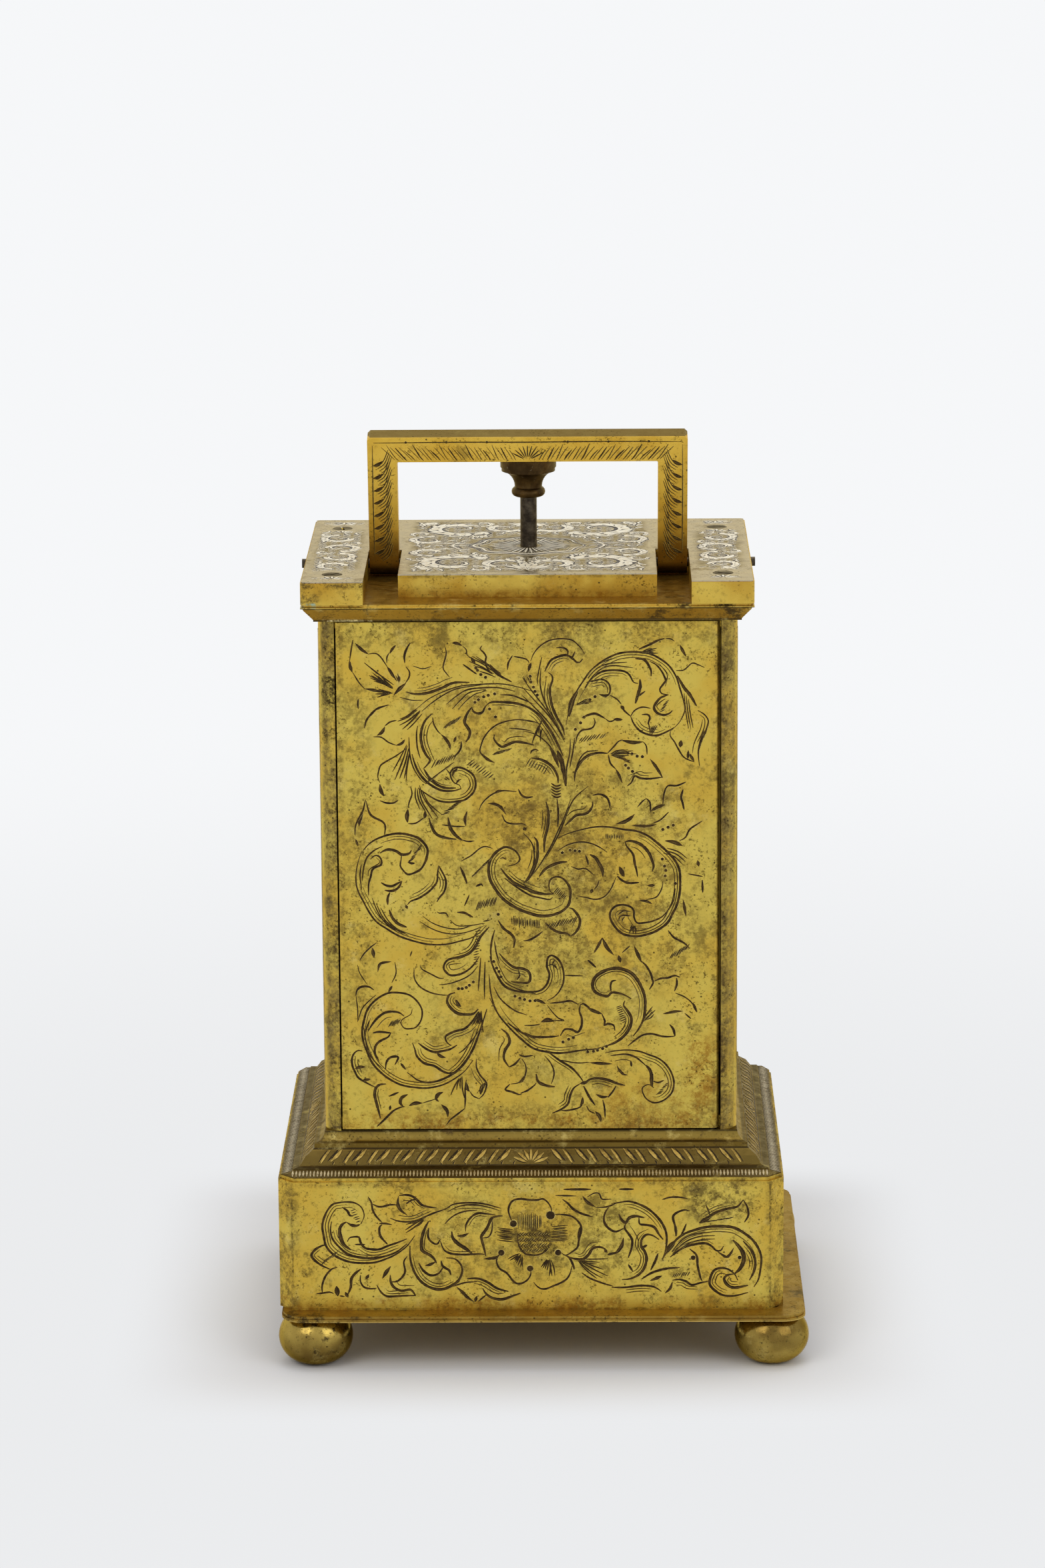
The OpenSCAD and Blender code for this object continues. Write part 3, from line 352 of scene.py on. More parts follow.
POST_STAINS = (
    (across(-36.4, -34.2), raised(0, 91), 0.6, 0.9, 5, POST, 0.9),
    (across(-35.2, -32), raised(0, 91), 0.35, 0.9, 4, DIRT, 1.0),
    (across(-36.4, -32), raised(0, 91), 0.6, 0.6, 7, POST, 0.6),
    (across(-36.4, -32), raised(70, 87), 1.2, 0.3, 2.5, SOOT_AND_SHADE, 0.95),
    (across(-36.4, -33), raised(88, 92), 1.0, 0.6, 3, DIRT, 0.7),
    (across(32.4, 36.4), raised(-1, 92), 0.4, 2.6, 7, POST, 1.0),
    (across(32.4, 36.4), raised(-1, 92), 0.4, 2.0, 5, POST, 0.8),
    (across(32, 34.2), raised(0, 91), 0.4, 0.7, 4, DIRT, 1.0),
    (across(32.4, 36.4), raised(58, 92), 1.5, 0.4, 3, DIRT, 0.6),
)
# Stains on the plinth, and a painted shade line in the joint along its foot.
PLINTH_STAINS_AND_SHADE = (
    (across(-41.8, -41.4), (9.9, 33), 0.12, 0.8, 3, SOOT_AND_SHADE, 0.85),
    (across(41.4, 41.8), (9.9, 33), 0.12, 0.8, 3, SOOT_AND_SHADE, 0.85),
    # Painted shade in the joint between the plinth's foot and the base plate.
    (across(-45, 45), (9.5, 10.15), 0.12, 1.6, 3, SOOT_AND_SHADE, 0.85),
    (across(-45, 45), (32.2, 34.4), 0.5, 0.8, 5, BROWN, 0.85),
    (across(27, 39), (26, 33), 1.5, 0.3, 4, DIRT, 0.8),
    (across(-22, 18), (14, 31), 3, 0.4, 3, OLIVE, 0.6),
    (across(-45, -40.5), (9, 34), 1.0, 0.5, 4, DIRT, 0.7),
    (across(41, 45), (9, 34), 0.8, 0.9, 3, DIRT, 0.8),
    (across(-45, 45), (9.5, 12), 0.8, 0.5, 6, UMBER, 0.8),
    (across(-4, 6.5), (18, 27), 1.6, 0.5, 3, DIRT, 0.9),
    (across(-2.4, 4.2), (20, 24.6), 0.8, 0.9, 2, SOOT_AND_SHADE, 0.8),
)
CORNICE_STAINS = (
    (across(-39, -36), (133.6, 134.14), 0.2, 0.2, 2, VERDIGRIS, 0.8),
    (across(-35, -26.5), (130.8, 131.3), 0.15, 0.3, 2, PALE, 0.7),
)
SLAB_STAINS = (
    (across(-39, -28), (137.0, 137.95), 0.4, 0.5, 3, DIRT, 0.9),
    (across(-39, -35.5), (133.5, 136.2), 0.8, 0.4, 3, DIRT, 0.85),
    (across(-39, -37.8), (133.5, 138), 0.3, 0.6, 3, DIRT, 0.8),
    (across(-22, 22), (133.5, 135.2), 0.6, 0.7, 5, UMBER, 0.8),
    (across(-22, 22), (137.5, 137.95), 0.2, 0.7, 4, DIRT, 0.6),
    (across(-39, -36), (134, 134.5), 0.2, 0.2, 2, VERDIGRIS, 0.9),
)
SLAB_GROUNDS = (
    (across(-MIDDLE_GROUND, MIDDLE_GROUND), deep(-20.4, 26.6), 0.7, SLAB_BROWN, 0.85),
    (across(-SIDE_GROUND[1], -SIDE_GROUND[0]), deep(-17.4, 16.4), 1.0, SLAB_BROWN, 0.8),
    (across(*SIDE_GROUND), deep(-17.4, 16.4), 1.0, SLAB_BROWN, 0.8),
)
# Tones of the moulding by height; the thin near-black lines are painted shade under the case body and in
# the creases between its members.
MOULDING_TONES_AND_SHADE = (
    ((38.3, 41), 0.2, srgb(128, 108, 48), 0.8),
    ((37.5, 38.3), 0.1, srgb(112, 90, 36), 0.9),
    # This line and the next two are painted shade, under the case body and in the creases below it.
    ((39.75, 40.3), 0.1, SOOT_AND_SHADE, 0.85),
    ((38.25, 38.45), 0.06, SOOT_AND_SHADE, 0.7),
    ((37.2, 37.5), 0.08, SOOT_AND_SHADE, 0.95),
    ((34.8, 37.2), 0.2, srgb(86, 71, 32), 0.85),
    # Painted shade in the crease above the milled band.
    ((34.55, 34.9), 0.06, SOOT_AND_SHADE, 0.9),
    ((33, 34.5), 0.1, srgb(84, 70, 40), 0.9),
)
# Bands of the cornice: a painted shadow under it, painted shade under its lip, a painted highlight on the
# lip's rounded edge, and a brown tint on the deck.
CORNICE_TONES_SHADE_AND_HIGHLIGHT = (
    # Painted shadow under the cornice.
    ((130.5, 131.25), 0.15, SOOT_AND_SHADE, 0.85),
    # Painted shade under the lip.
    ((133.25, 133.6), 0.08, SOOT_AND_SHADE, 0.8),
    # Painted highlight on the lip's rounded edge.
    ((133.6, 134.0), 0.1, srgb(214, 184, 84), 0.8),
    ((134.08, 134.5), 0.03, srgb(124, 94, 36), 0.8),
)
# Tones of the handle by height; the last, near-black band is a painted shadow.
HANDLE_TONES_AND_SHADOW = (
    ((159.72, 162), 0.06, srgb(90, 74, 42), 0.9),
    ((134, 141.5), 2.2, srgb(116, 82, 26), 0.8),
    # Painted shadow under the legs' rounded ends in the slots.
    ((134, 136.3), 0.8, srgb(26, 18, 8), 0.92),
)
BASE_BANDS = (((8.7, 8.95), 0.06, srgb(206, 176, 96), 0.8),)
SLAB_BANDS = (((137.95, 139), 0.03, srgb(186, 176, 152), 1.0),)


def gild_the_case():
    dress(brass("door_gilt", GOLD, WARM, OLIVE, 1.0, grime=0.55, patches=DOOR_STAINS_AND_SHADE), "back_door")
    dress(brass("body_gilt", GOLD, WARM, OLIVE, 9.0, grime=0.55, patches=POST_STAINS, door_side=True),
          "case_body", "front_frame")
    dress(brass("cornice_gilt", srgb(184, 146, 54), srgb(170, 130, 44), DIRT, 29.0, grime=0.75,
                bands=CORNICE_TONES_SHADE_AND_HIGHLIGHT, patches=CORNICE_STAINS), "cornice")


def gild_the_foot():
    dress(brass("plinth_gilt", GOLD, WARM, OLIVE, 17.0, grime=0.6, patches=PLINTH_STAINS_AND_SHADE), "plinth")
    dress(brass("moulding_gilt", srgb(150, 124, 56), srgb(132, 104, 44), DIRT, 23.0, grime=0.8,
                bands=MOULDING_TONES_AND_SHADE), "plinth_moulding")
    dress(brass("base_gilt", srgb(160, 130, 56), srgb(134, 104, 42), DIRT, 31.0, grime=0.8,
                bands=BASE_BANDS, worn=0.25), "base_plate")
    dress(brass("foot_gilt", srgb(172, 148, 74), srgb(112, 90, 42), srgb(52, 42, 26), 37.0,
                grime=1.0, metallic=1.0, rough=0.2),
          "foot_back_left", "foot_back_right", "foot_front_left", "foot_front_right")


def gild_the_top():
    dress(brass("handle_gilt", srgb(226, 188, 76), srgb(212, 170, 60), BROWN, 41.0, grime=0.4,
                bands=HANDLE_TONES_AND_SHADOW, worn=0.08), "handle")
    dress(brass("slab_gilt", srgb(212, 182, 80), srgb(188, 148, 52), BROWN, 43.0, grime=0.6, rough=0.34,
                bands=SLAB_BANDS, patches=SLAB_STAINS, grounds=SLAB_GROUNDS, worn=0.25), "top_slab")


def finish_the_movement():
    dress(brass("movement_brass", srgb(200, 170, 90), srgb(190, 158, 78), OLIVE, 47.0, pits=0.2),
          "back_plate", "front_plate", "pillars", "going_barrel", "strike_barrel", "centre_wheel",
          "third_wheel", "contrate_wheel", "escape_wheel", "platform", "balance", "balance_cock",
          "pin_wheel", "gathering_wheel", "fly", "bell_stand", "cannon_pinion", "hour_wheel",
          "minute_wheel", "dial_feet", "repeat_bridge")
    dress(steel("bell_metal", srgb(190, 170, 120), srgb(150, 130, 84), 67.0), "bell")


def finish_the_steel():
    dress(steel("bronze", srgb(96, 74, 40), srgb(58, 42, 22), 53.0, size=3.0), "repeat_knob")
    dress(steel("dark_steel", srgb(92, 84, 72), srgb(46, 40, 36), 59.0),
          "repeat_stem", "handle_pin_left", "handle_pin_right", "door_pin_top", "door_pin_bottom",
          "going_arbor", "strike_arbor", "hammer", "pillar_screws",
          "top_screw_bl", "top_screw_br", "top_screw_fl", "top_screw_fr")
    dress(steel("blued_steel", srgb(52, 62, 110), srgb(26, 32, 66), 61.0), "hour_hand", "minute_hand")


def silver_the_dial():
    """Silvered brass, black on the raised hour marks."""
    f = Finish("silvered_dial", 0.35, 0.45, 71.0)
    colour = f.mix(f.ramp(f.noise(9, 4.0), 0.3, 0.7), srgb(226, 222, 206), srgb(214, 208, 190))
    spots = f.ramp(f.noise(0.8, 3.0), 0.68, 0.76, 0.0, 0.4)
    colour = f.mix(spots, colour, srgb(120, 106, 84))
    raised_marks = f.ramp(f.axis(1), (DIAL_FACE + 0.01) * MM, (DIAL_FACE + 0.04) * MM)
    f.bump(f.noise(0.3, 2.0, (0.1, 1, 1)), 0.1, 0.03)
    dress(f.finish(f.mix(raised_marks, colour, srgb(34, 32, 34))), "dial_plate", "chapter_ring")


def glaze_the_front():
    f = Finish("glass", 0.0, 0.03)
    f.shader.inputs["Transmission Weight"].default_value = 1.0
    f.shader.inputs["IOR"].default_value = 1.45
    colour = f.mix(f.noise(20, 2.0), srgb(248, 252, 250), srgb(240, 248, 246))
    dress(f.finish(colour), "front_glass")


gild_the_case()
gild_the_foot()
gild_the_top()
finish_the_movement()
finish_the_steel()
silver_the_dial()
glaze_the_front()


# ---------------------------------------------------------------- meshes

def mesh_object(name, verts, faces, materials, picks=None, smooth=True):
    """An object in the scene from a mesh in millimetres; picks are the faces' materials."""
    mesh = bpy.data.meshes.new(name)
    mesh.from_pydata([[c * MM for c in v] for v in verts], [], faces)
    for material in materials:
        mesh.materials.append(material)
    if picks:
        mesh.polygons.foreach_set("material_index", picks)
    mesh.polygons.foreach_set("use_smooth", [smooth] * len(mesh.polygons))
    made = bpy.data.objects.new(name, mesh)
    scene.collection.objects.link(made)
    return made


def piece(made, body):
    """Lets a mesh ride on a body."""
    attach(made, body)
    return made


def tube(points, radius, sides):
    """Verts and faces of a closed round tube along the points."""
    verts, faces = [], []
    count = len(points)
    for i, here in enumerate(points):
        ahead = Vector(points[min(i + 1, count - 1)]) - Vector(points[max(i - 1, 0)])
        # Square to the path and to a line that is nearly upright, which no path here runs along.
        beside = ahead.cross(Vector((0.02, 0.01, 1))).normalized()
        above = beside.cross(ahead).normalized()
        for k in range(sides):
            turn = math.tau * k / sides
            verts.append(Vector(here) + radius * (math.cos(turn) * beside + math.sin(turn) * above))
    for i in range(count - 1):
        for k in range(sides):
            n = (k + 1) % sides
            faces.append((i * sides + k, i * sides + n, (i + 1) * sides + n, (i + 1) * sides + k))
    faces.append(tuple(range(sides))[::-1])
    faces.append(tuple(range((count - 1) * sides, count * sides)))
    return verts, faces


def repeat_coil(material):
    """The spring under the repeat push-piece, built as a fixed coil; the real one shortens as it is pushed.
    """
    low, high = (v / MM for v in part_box("repeat_spring"))
    centre = (low + high) / 2
    wire, turns, steps, push = 0.2, 7, 24, 4.0
    radius = (high.x - low.x) / 2 - wire
    rise = high.z - low.z - 2 * wire
    points = []
    for i in range(turns * steps + 1):
        turn = math.tau * i / steps
        points.append((centre.x + radius * math.cos(turn), centre.y + radius * math.sin(turn),
                       low.z + wire + rise * i / (turns * steps)))
    coil = piece(mesh_object("repeat_coil", *tube(points, wire, 8), [material]), "case")
    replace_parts(coil, "repeat_spring")
    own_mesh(coil)


def balance_hairspring(material):
    """The balance's flat spiral spring."""
    low, high = (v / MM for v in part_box("balance_spring"))
    centre = (low + high) / 2
    wire, turns, steps, inner, breadth = 0.06, 7, 36, 1.1, 2.4
    points = []
    for i in range(turns * steps + 1):
        turn = math.tau * i / steps
        reach = inner + breadth * i / (turns * steps)
        points.append((centre.x + reach * math.cos(turn), centre.y + reach * math.sin(turn), centre.z))
    body = body_of(frame["nodes"]["balance_spring"])[0]
    made = mesh_object("balance_hairspring", *tube(points, wire, 6), [material])
    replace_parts(piece(made, body), "balance_spring")


spring_steel = steel("spring_steel", srgb(130, 128, 124), srgb(70, 68, 66), 73.0, rough=0.3)
repeat_coil(spring_steel)
balance_hairspring(spring_steel)


# ---------------------------------------------------------------- engraving
# A stroke is its width in hundredths of a millimetre, then across, up, across, up ...

DOOR_LILY = (
    (20, -29.9, 87.6, -30.25, 85.75, -30.5, 84), (55, -30.5, 84, -30.4, 82.9, -30.05, 81.9),
    (20, -30, 81.9, -29, 80.2, -28, 79), (50, -28, 79.05, -26.5, 78.8, -24.8, 78.4),
    (20, -24.8, 78.4, -23.2, 78.2), (50, -29.5, 87, -28.4, 85.9, -27.3, 85.1),
    (20, -27.3, 85.1, -26, 85.2, -25.2, 84.6, -24.4, 83.4, -24, 82.75),
    (55, -24.1, 82.9, -23.5, 82, -22.9, 80.9), (20, -24.1, 83.5, -24.1, 84.5, -23.7, 85.3),
    (40, -23.6, 85.2, -23.2, 85.9, -22.6, 86.6), (35, -20.1, 87, -20.7, 86, -21.1, 84.8, -21.05, 83.5),
    (20, -20.9, 82.9, -20.3, 82, -20.4, 81, -21, 80), (15, -19.7, 83, -18, 82.5, -16.5, 82.9),
    (25, -28, 83.6, -25.7, 81.7, -23, 79.7), (60, -23, 77.9, -22, 79, -20.9, 80),
    (45, -20.9, 78.45, -19.5, 78.1, -17.5, 78.2, -15, 79, -12.75, 80, -10, 80.1),
    (15, -22, 77.5, -20, 77, -18, 77),
    (35, -23.9, 76.2, -25.75, 75.6, -26.75, 74.75, -27.75, 73.5, -28.1, 72.1),
    (30, -29.1, 77.2, -29.2, 76.3, -29.1, 75.5), (45, -22, 73.75, -20.75, 74.1, -19, 75.6),
    (20, -19, 75.6, -16.5, 77.5, -12.75, 79.1, -10, 79.6, -5, 79.8, -2, 79.3, 1, 78.4),
    (20, -18.25, 75, -16.5, 76.5, -14.25, 78, -12, 79, -8, 79.6),
    (25, -14, 76.25, -12.5, 77.5, -10.5, 78.75, -8, 79.1, -5, 79.1, -2.2, 78.5),
    (20, -13, 75.4, -11.5, 77, -10, 78.3, -7.5, 78.8), (15, -12, 75.3, -10.5, 76.9, -9, 78, -7, 78.6),
    (25, -4.75, 77.9, -2.75, 77.75, -0.75, 77, 1, 76.2),
    (40, -7.1, 76.1, -6.25, 76.6, -4.5, 76.6, -2.25, 76.4, -0.5, 75.9, 1, 75.2),
    (40, -7.1, 76.1, -7.5, 75.5, -7.75, 74.9, -8.5, 74.6, -9.4, 75, -9.6, 75.75),
    (50, -9.6, 75.75, -10.2, 75, -10.7, 74, -10.9, 73, -10.4, 72.2, -10, 71.4, -10.2, 70.4, -10.75, 69.6),
    (20, -22.6, 73.5, -23.75, 73.2, -24.6, 72.5), (50, -24.6, 72.4, -25.1, 71.4, -26, 70.8),
    (25, -26.6, 70.6, -25.25, 70.5, -24, 69.6, -22.75, 69.1),
    (50, -22.75, 69.05, -21.75, 69.4, -21.2, 70.1), (18, -18.5, 75.2, -20.4, 73.6, -22.1, 72.6),
    (18, -18.5, 75, -20.2, 73.2, -21.6, 71.9), (18, -19, 75.3, -20.8, 74, -22.4, 73.3),
    (15, -18.2, 74.6, -19.6, 73, -20.8, 71.8),
)
DOOR_SCROLL = (
    (45, -16.5, 74.6, -17.6, 73.5, -18.25, 72, -18.45, 70.25, -18.1, 68.5, -17.5, 67.25, -16.9, 66.4,
     -17.5, 65.5, -18, 65),
    (40, -20, 67.5, -19.6, 66, -19, 64.5, -18, 63.1, -16.75, 62, -15, 61.1, -13, 61, -11.6, 61.4),
    (45, -18, 64.9, -17, 63.25, -15.75, 62.1, -14.25, 61.5, -12.5, 61.5),
    (20, -20.5, 70.5, -20.4, 67.5, -19.75, 65, -18.5, 63, -17.5, 62.2),
    (20, -19, 72.5, -19.2, 71, -19.1, 68.75, -18.6, 66.75),
    (35, -11.6, 61.25, -11.9, 62, -12.75, 62.4, -13.3, 63.25, -13.4, 64.25, -12.75, 65, -11.75, 65.1,
     -10.5, 64.6, -9.5, 63.75, -9.1, 62.5, -9.25, 61.25, -9.75, 60.4, -11, 59.4, -12.5, 59.1, -14, 59,
     -15.5, 59.25, -16.75, 59.9, -18, 60.75, -19, 61.5), (40, -13.05, 63.5, -12.9, 64.3, -12.2, 64.9),
    (30, -12.5, 62.25, -12, 62.9, -11.6, 63), (50, -15, 71, -14.25, 70.25, -13.6, 69.25, -13.4, 68.25),
    (20, -16.4, 74, -16.2, 72.75, -15.5, 71.5, -15, 71),
    (30, -11.5, 69.75, -11.6, 68.5, -12.25, 67.5, -12.9, 67), (40, -12.4, 70.5, -12.8, 69.6),
    (20, -21, 68.5, -22.75, 67.25, -24.5, 66.25, -25.4, 65.6, -25.75, 64.75, -25.95, 63.5, -25.6, 62.5),
    (60, -25.6, 62.2, -25.4, 61, -24.9, 60.1), (30, -25.6, 59.3, -24.5, 58.9, -23.25, 58.9, -22.5, 59.4),
    (20, -20.3, 61.7, -20.1, 60.5, -20.6, 59, -20.8, 58), (65, -20.8, 57.8, -21, 56.4, -20.9, 55.4),
    (25, -20.8, 55.2, -19.5, 55.3, -18, 56.3), (55, -17.9, 57.5, -17.85, 56.8, -18, 56.1),
    (45, -17.2, 56.2, -16.8, 54.8, -16.2, 53.6, -15.4, 53, -14, 52.6, -12.5, 52.4),
    (55, -13.9, 56.3, -13.6, 54.6, -12.75, 53.25, -11.5, 52.2), (25, -11.5, 52.3, -10.5, 52, -9.4, 52.1),
    (25, -15, 55, -12.75, 54.7, -11, 54.7), (50, -10.6, 57.4, -11, 56, -10.85, 54.7),
    (20, -20.8, 69, -21.6, 66.5, -23, 63), (20, -20.6, 68.5, -21.2, 66, -22.2, 63.2),
    (20, -20.4, 68, -20.9, 65.6, -21.4, 63.2), (15, -20.9, 69.2, -22, 67, -23.4, 64.4),
    (15, -20.5, 67, -20.9, 65, -21.1, 62.6), (22, -18.8, 62, -18, 59.6, -15.6, 56.2),
    (22, -18.9, 61.6, -18.4, 59.2, -16.6, 56), (20, -19.2, 61.4, -18.9, 59.4, -17.6, 57),
    (20, -18.4, 61.2, -17.2, 58.8, -15, 56.8), (18, -19.5, 61.6, -19.5, 59.8, -18.8, 57.8),
    (30, -28.1, 59.5, -28.6, 57.5, -29.4, 56, -29.9, 54.75, -30, 53.25),
    (60, -28.6, 57.5, -29.1, 56, -29.3, 54.75), (45, -29.9, 52.5, -29.5, 51.25),
    (35, -28, 59.25, -27.5, 57.25, -26.75, 56.4, -25.25, 55.6, -24.75, 54.75, -24.9, 53.25),
)
DOOR_LEFT = (
    (40, -28.6, 50.5, -27.75, 51.5, -26.5, 52.4, -24.75, 53.1, -23, 53.45, -21.5, 53.4, -20.25, 53.1,
     -19, 52.6, -18, 51.6, -17.5, 50.6, -17.6, 49.5, -18, 48.25, -18.75, 47.1, -20, 46.4, -21, 46.2,
     -21.75, 46.9, -22.25, 47.75, -22.1, 48.75, -22, 49.75),
    (45, -25.75, 50, -24.75, 50.55, -23.75, 50.6, -22.75, 50.25, -22.1, 49.75, -21.25, 49.75, -20.6, 50,
     -20.3, 50.5), (40, -20.9, 48.4, -20.3, 48.15, -19.75, 48.2),
    (35, -27.4, 48.9, -26.75, 49.5, -26, 49.5, -25.5, 48.75, -25.6, 47.9, -26.5, 47.5, -27.1, 47,
     -27.4, 45.75, -27.75, 44.5, -27.8, 42.5),
    (30, -28.9, 50.25, -29.5, 48.5, -29.9, 46.5, -29.9, 44.5, -29.5, 43, -28.9, 41.75, -27.75, 39.5,
     -26.5, 37.75, -24.75, 36.5, -22.75, 35.25, -20.5, 34.4, -18, 33.75, -16, 33.6, -14, 33.75,
     -12, 34.25, -10.25, 34.75, -8.75, 35.6, -7.5, 37), (20, -29, 48, -29.25, 46, -29, 43.5),
    (20, -28, 49.5, -28.6, 47.5, -28.9, 45),
    (20, -25.25, 51.25, -26.75, 50.5, -28, 49.25, -28.6, 47.5, -28.8, 45.75),
    (50, -24.25, 39.9, -23.75, 38.5, -22.75, 37.4, -21.25, 36.75),
    (20, -25.75, 40.25, -24.5, 38, -23, 36.5, -21, 35.25),
    (20, -26.5, 41, -25.5, 38.75, -24, 37, -22, 35.6), (20, -27.2, 42, -26.3, 39.6, -25, 37.6, -23, 36),
    (35, -21.1, 40.75, -20.5, 41.4, -19, 42, -17.5, 43, -16.5, 44, -15.9, 45, -15.8, 46.5, -15.6, 47.75),
    (35, -15.6, 47.75, -15.1, 46.75, -14.5, 45.5, -14.4, 44.25, -14.75, 43, -15.5, 42.1, -16, 41.25),
    (50, -21.4, 40.8, -21.1, 40), (40, -25.6, 44.75, -24.75, 44.25, -23.75, 44.1, -22.75, 44.6, -22, 45),
    (40, -22, 45, -22.5, 44, -23.25, 43.4, -24.1, 43.25, -25, 43.4),
    (40, -24.1, 43, -24.5, 42, -24.5, 40.75), (25, -16, 39.5, -15.6, 39.25, -14.5, 39.25, -14, 38.5),
    (18, -18.5, 38.75, -17, 37.6, -15, 36.75, -13, 36.4, -11.5, 36.5, -10, 37, -7.75, 37.4),
    (18, -19, 37.75, -17, 36.5, -15, 35.75, -12.75, 35.5, -10.25, 36, -7.75, 37),
    (18, -13.75, 38, -12.5, 37, -10.25, 37, -8, 37.4),
    (40, -12.5, 39.4, -11.25, 39.3, -10.25, 38.75, -9.75, 38.5), (20, -8, 37.75, -6.75, 38),
    (20, -10.4, 42.5, -11.25, 40.5), (25, -11.75, 48.5, -10, 49.5, -8.5, 50.75, -7.5, 51.1, -6.25, 50.75),
    (40, -11.9, 47.5, -11.25, 46, -10.75, 44.5), (35, -9.25, 44, -8.25, 44.4, -8, 44),
)
DOOR_CENTRE = (
    (50, -3.6, 47.6, -2.25, 48, -1.6, 48.75, -1.9, 49.75, -2.75, 50.6, -4, 51, -5, 50.6, -6, 49.75,
     -6.75, 48.5, -7, 47, -6.75, 45.25, -6, 43.75, -4.75, 42, -3.25, 40.75, -1.5, 39.75, 0, 39.2,
     1.5, 38.75, 3, 38.7, 4.5, 39, 5.75, 39.6, 6.75, 40.6, 7.1, 42, 7.1, 43.4, 6.6, 44.5, 5.75, 45.4,
     4.75, 45.7, 3.75, 45.25, 3.4, 44.25, 3.6, 43.1, 4.25, 42.7),
    (50, -4.9, 47.25, -4, 46, -2.75, 44.75, -1.5, 44, 0, 43.4, 1, 42.9, 2.5, 42.6, 4.25, 42.6),
    (30, -4.25, 45.5, -2.75, 44.25, -0.75, 42.9, 0.5, 42.25, 2, 41.9, 3.5, 41.6, 4, 42),
    (25, -5, 49, -4.5, 49.1, -3.9, 48.75), (45, 2.75, 37.4, 3.75, 36.5, 5, 35.75, 6.5, 35.5, 7.1, 35),
    (45, 7.1, 35, 7.9, 35.6, 8.6, 36.75, 8.75, 38, 8.25, 39, 7.5, 39.9, 6.9, 40.1),
    (35, -1, 34.25, 0, 34.4, 1.25, 35.1, 2.25, 35.9),
    (25, -8.6, 57.5, -8, 58.75, -6.9, 59.9, -5.5, 60.75, -4.25, 61, -2.1, 60.8),
    (45, -6.1, 60.4, -5.2, 60.9, -4.2, 61), (50, -7, 58.75, -5.75, 58.6, -4.75, 58, -3.9, 56.75),
    (30, -4.6, 56.75, -4, 55.5, -2.75, 55.1, -1, 55.1, -0.4, 54.75), (80, -0.9, 54.5, -0.5, 53.9),
    (35, -1.75, 61.25, -1.25, 60.25, -0.4, 59.75, 0.75, 59.9),
    (25, -1, 53.5, 0, 52.4, 0.75, 51, 0.9, 48.5, 0.25, 46.5, -0.75, 44.75),
    (50, 0.9, 52.75, 1.4, 52, 1.5, 50.5, 1.4, 49, 0.9, 47.25, 0, 45.5, -1, 44.5),
    (50, 3, 59, 3.4, 57, 3.25, 54.5, 2.75, 52.5, 2.6, 50), (35, 4.9, 59.5, 5.1, 57, 5, 54.5),
    (25, 7.25, 59.5, 6.25, 56.5, 5, 53.75, 3.75, 51, 2, 48, 0.25, 45.5),
    (20, 10.25, 61.75, 8, 59.75, 6.75, 57.5, 5.75, 54.75, 4.5, 52, 2.75, 48.75),
    (45, 11, 59, 11, 58.25, 10.4, 57.25, 9.5, 56.75, 8.25, 56.6, 7.25, 55.75, 6.25, 54.75),
    (35, 11, 60.1, 12.25, 60.3, 13.4, 59.75, 13.9, 58.75, 14, 57.75),
    (50, -12.9, 87, -12, 86.9, -11.25, 86.5), (15, -11.1, 86.4, -10.5, 85.75, -10.4, 84.9, -9.75, 84.4),
    (50, -9.75, 84.5, -9.4, 84, -9, 83.2),
    (25, -14.1, 86.25, -13.95, 85, -14.5, 82.75, -14, 81.75, -13.4, 81),
    (30, -7.8, 86.5, -8.1, 85.9, -7.5, 85.25, -7.1, 84.5, -7.25, 83.75, -6.9, 82.5, -6.1, 81.6),
    (35, -6.5, 82.75, -5.25, 81.5, -2.75, 80.1), (30, -11.1, 83.25, -8.75, 81.5),
    (30, -3.5, 82.25, -3.3, 83.5, -2.6, 84.75), (25, -2.4, 84.6, -0.25, 84.1, 0.25, 83.4),
    (50, 0.6, 83.5, 0.3, 82.75, 0.1, 81.9),
)
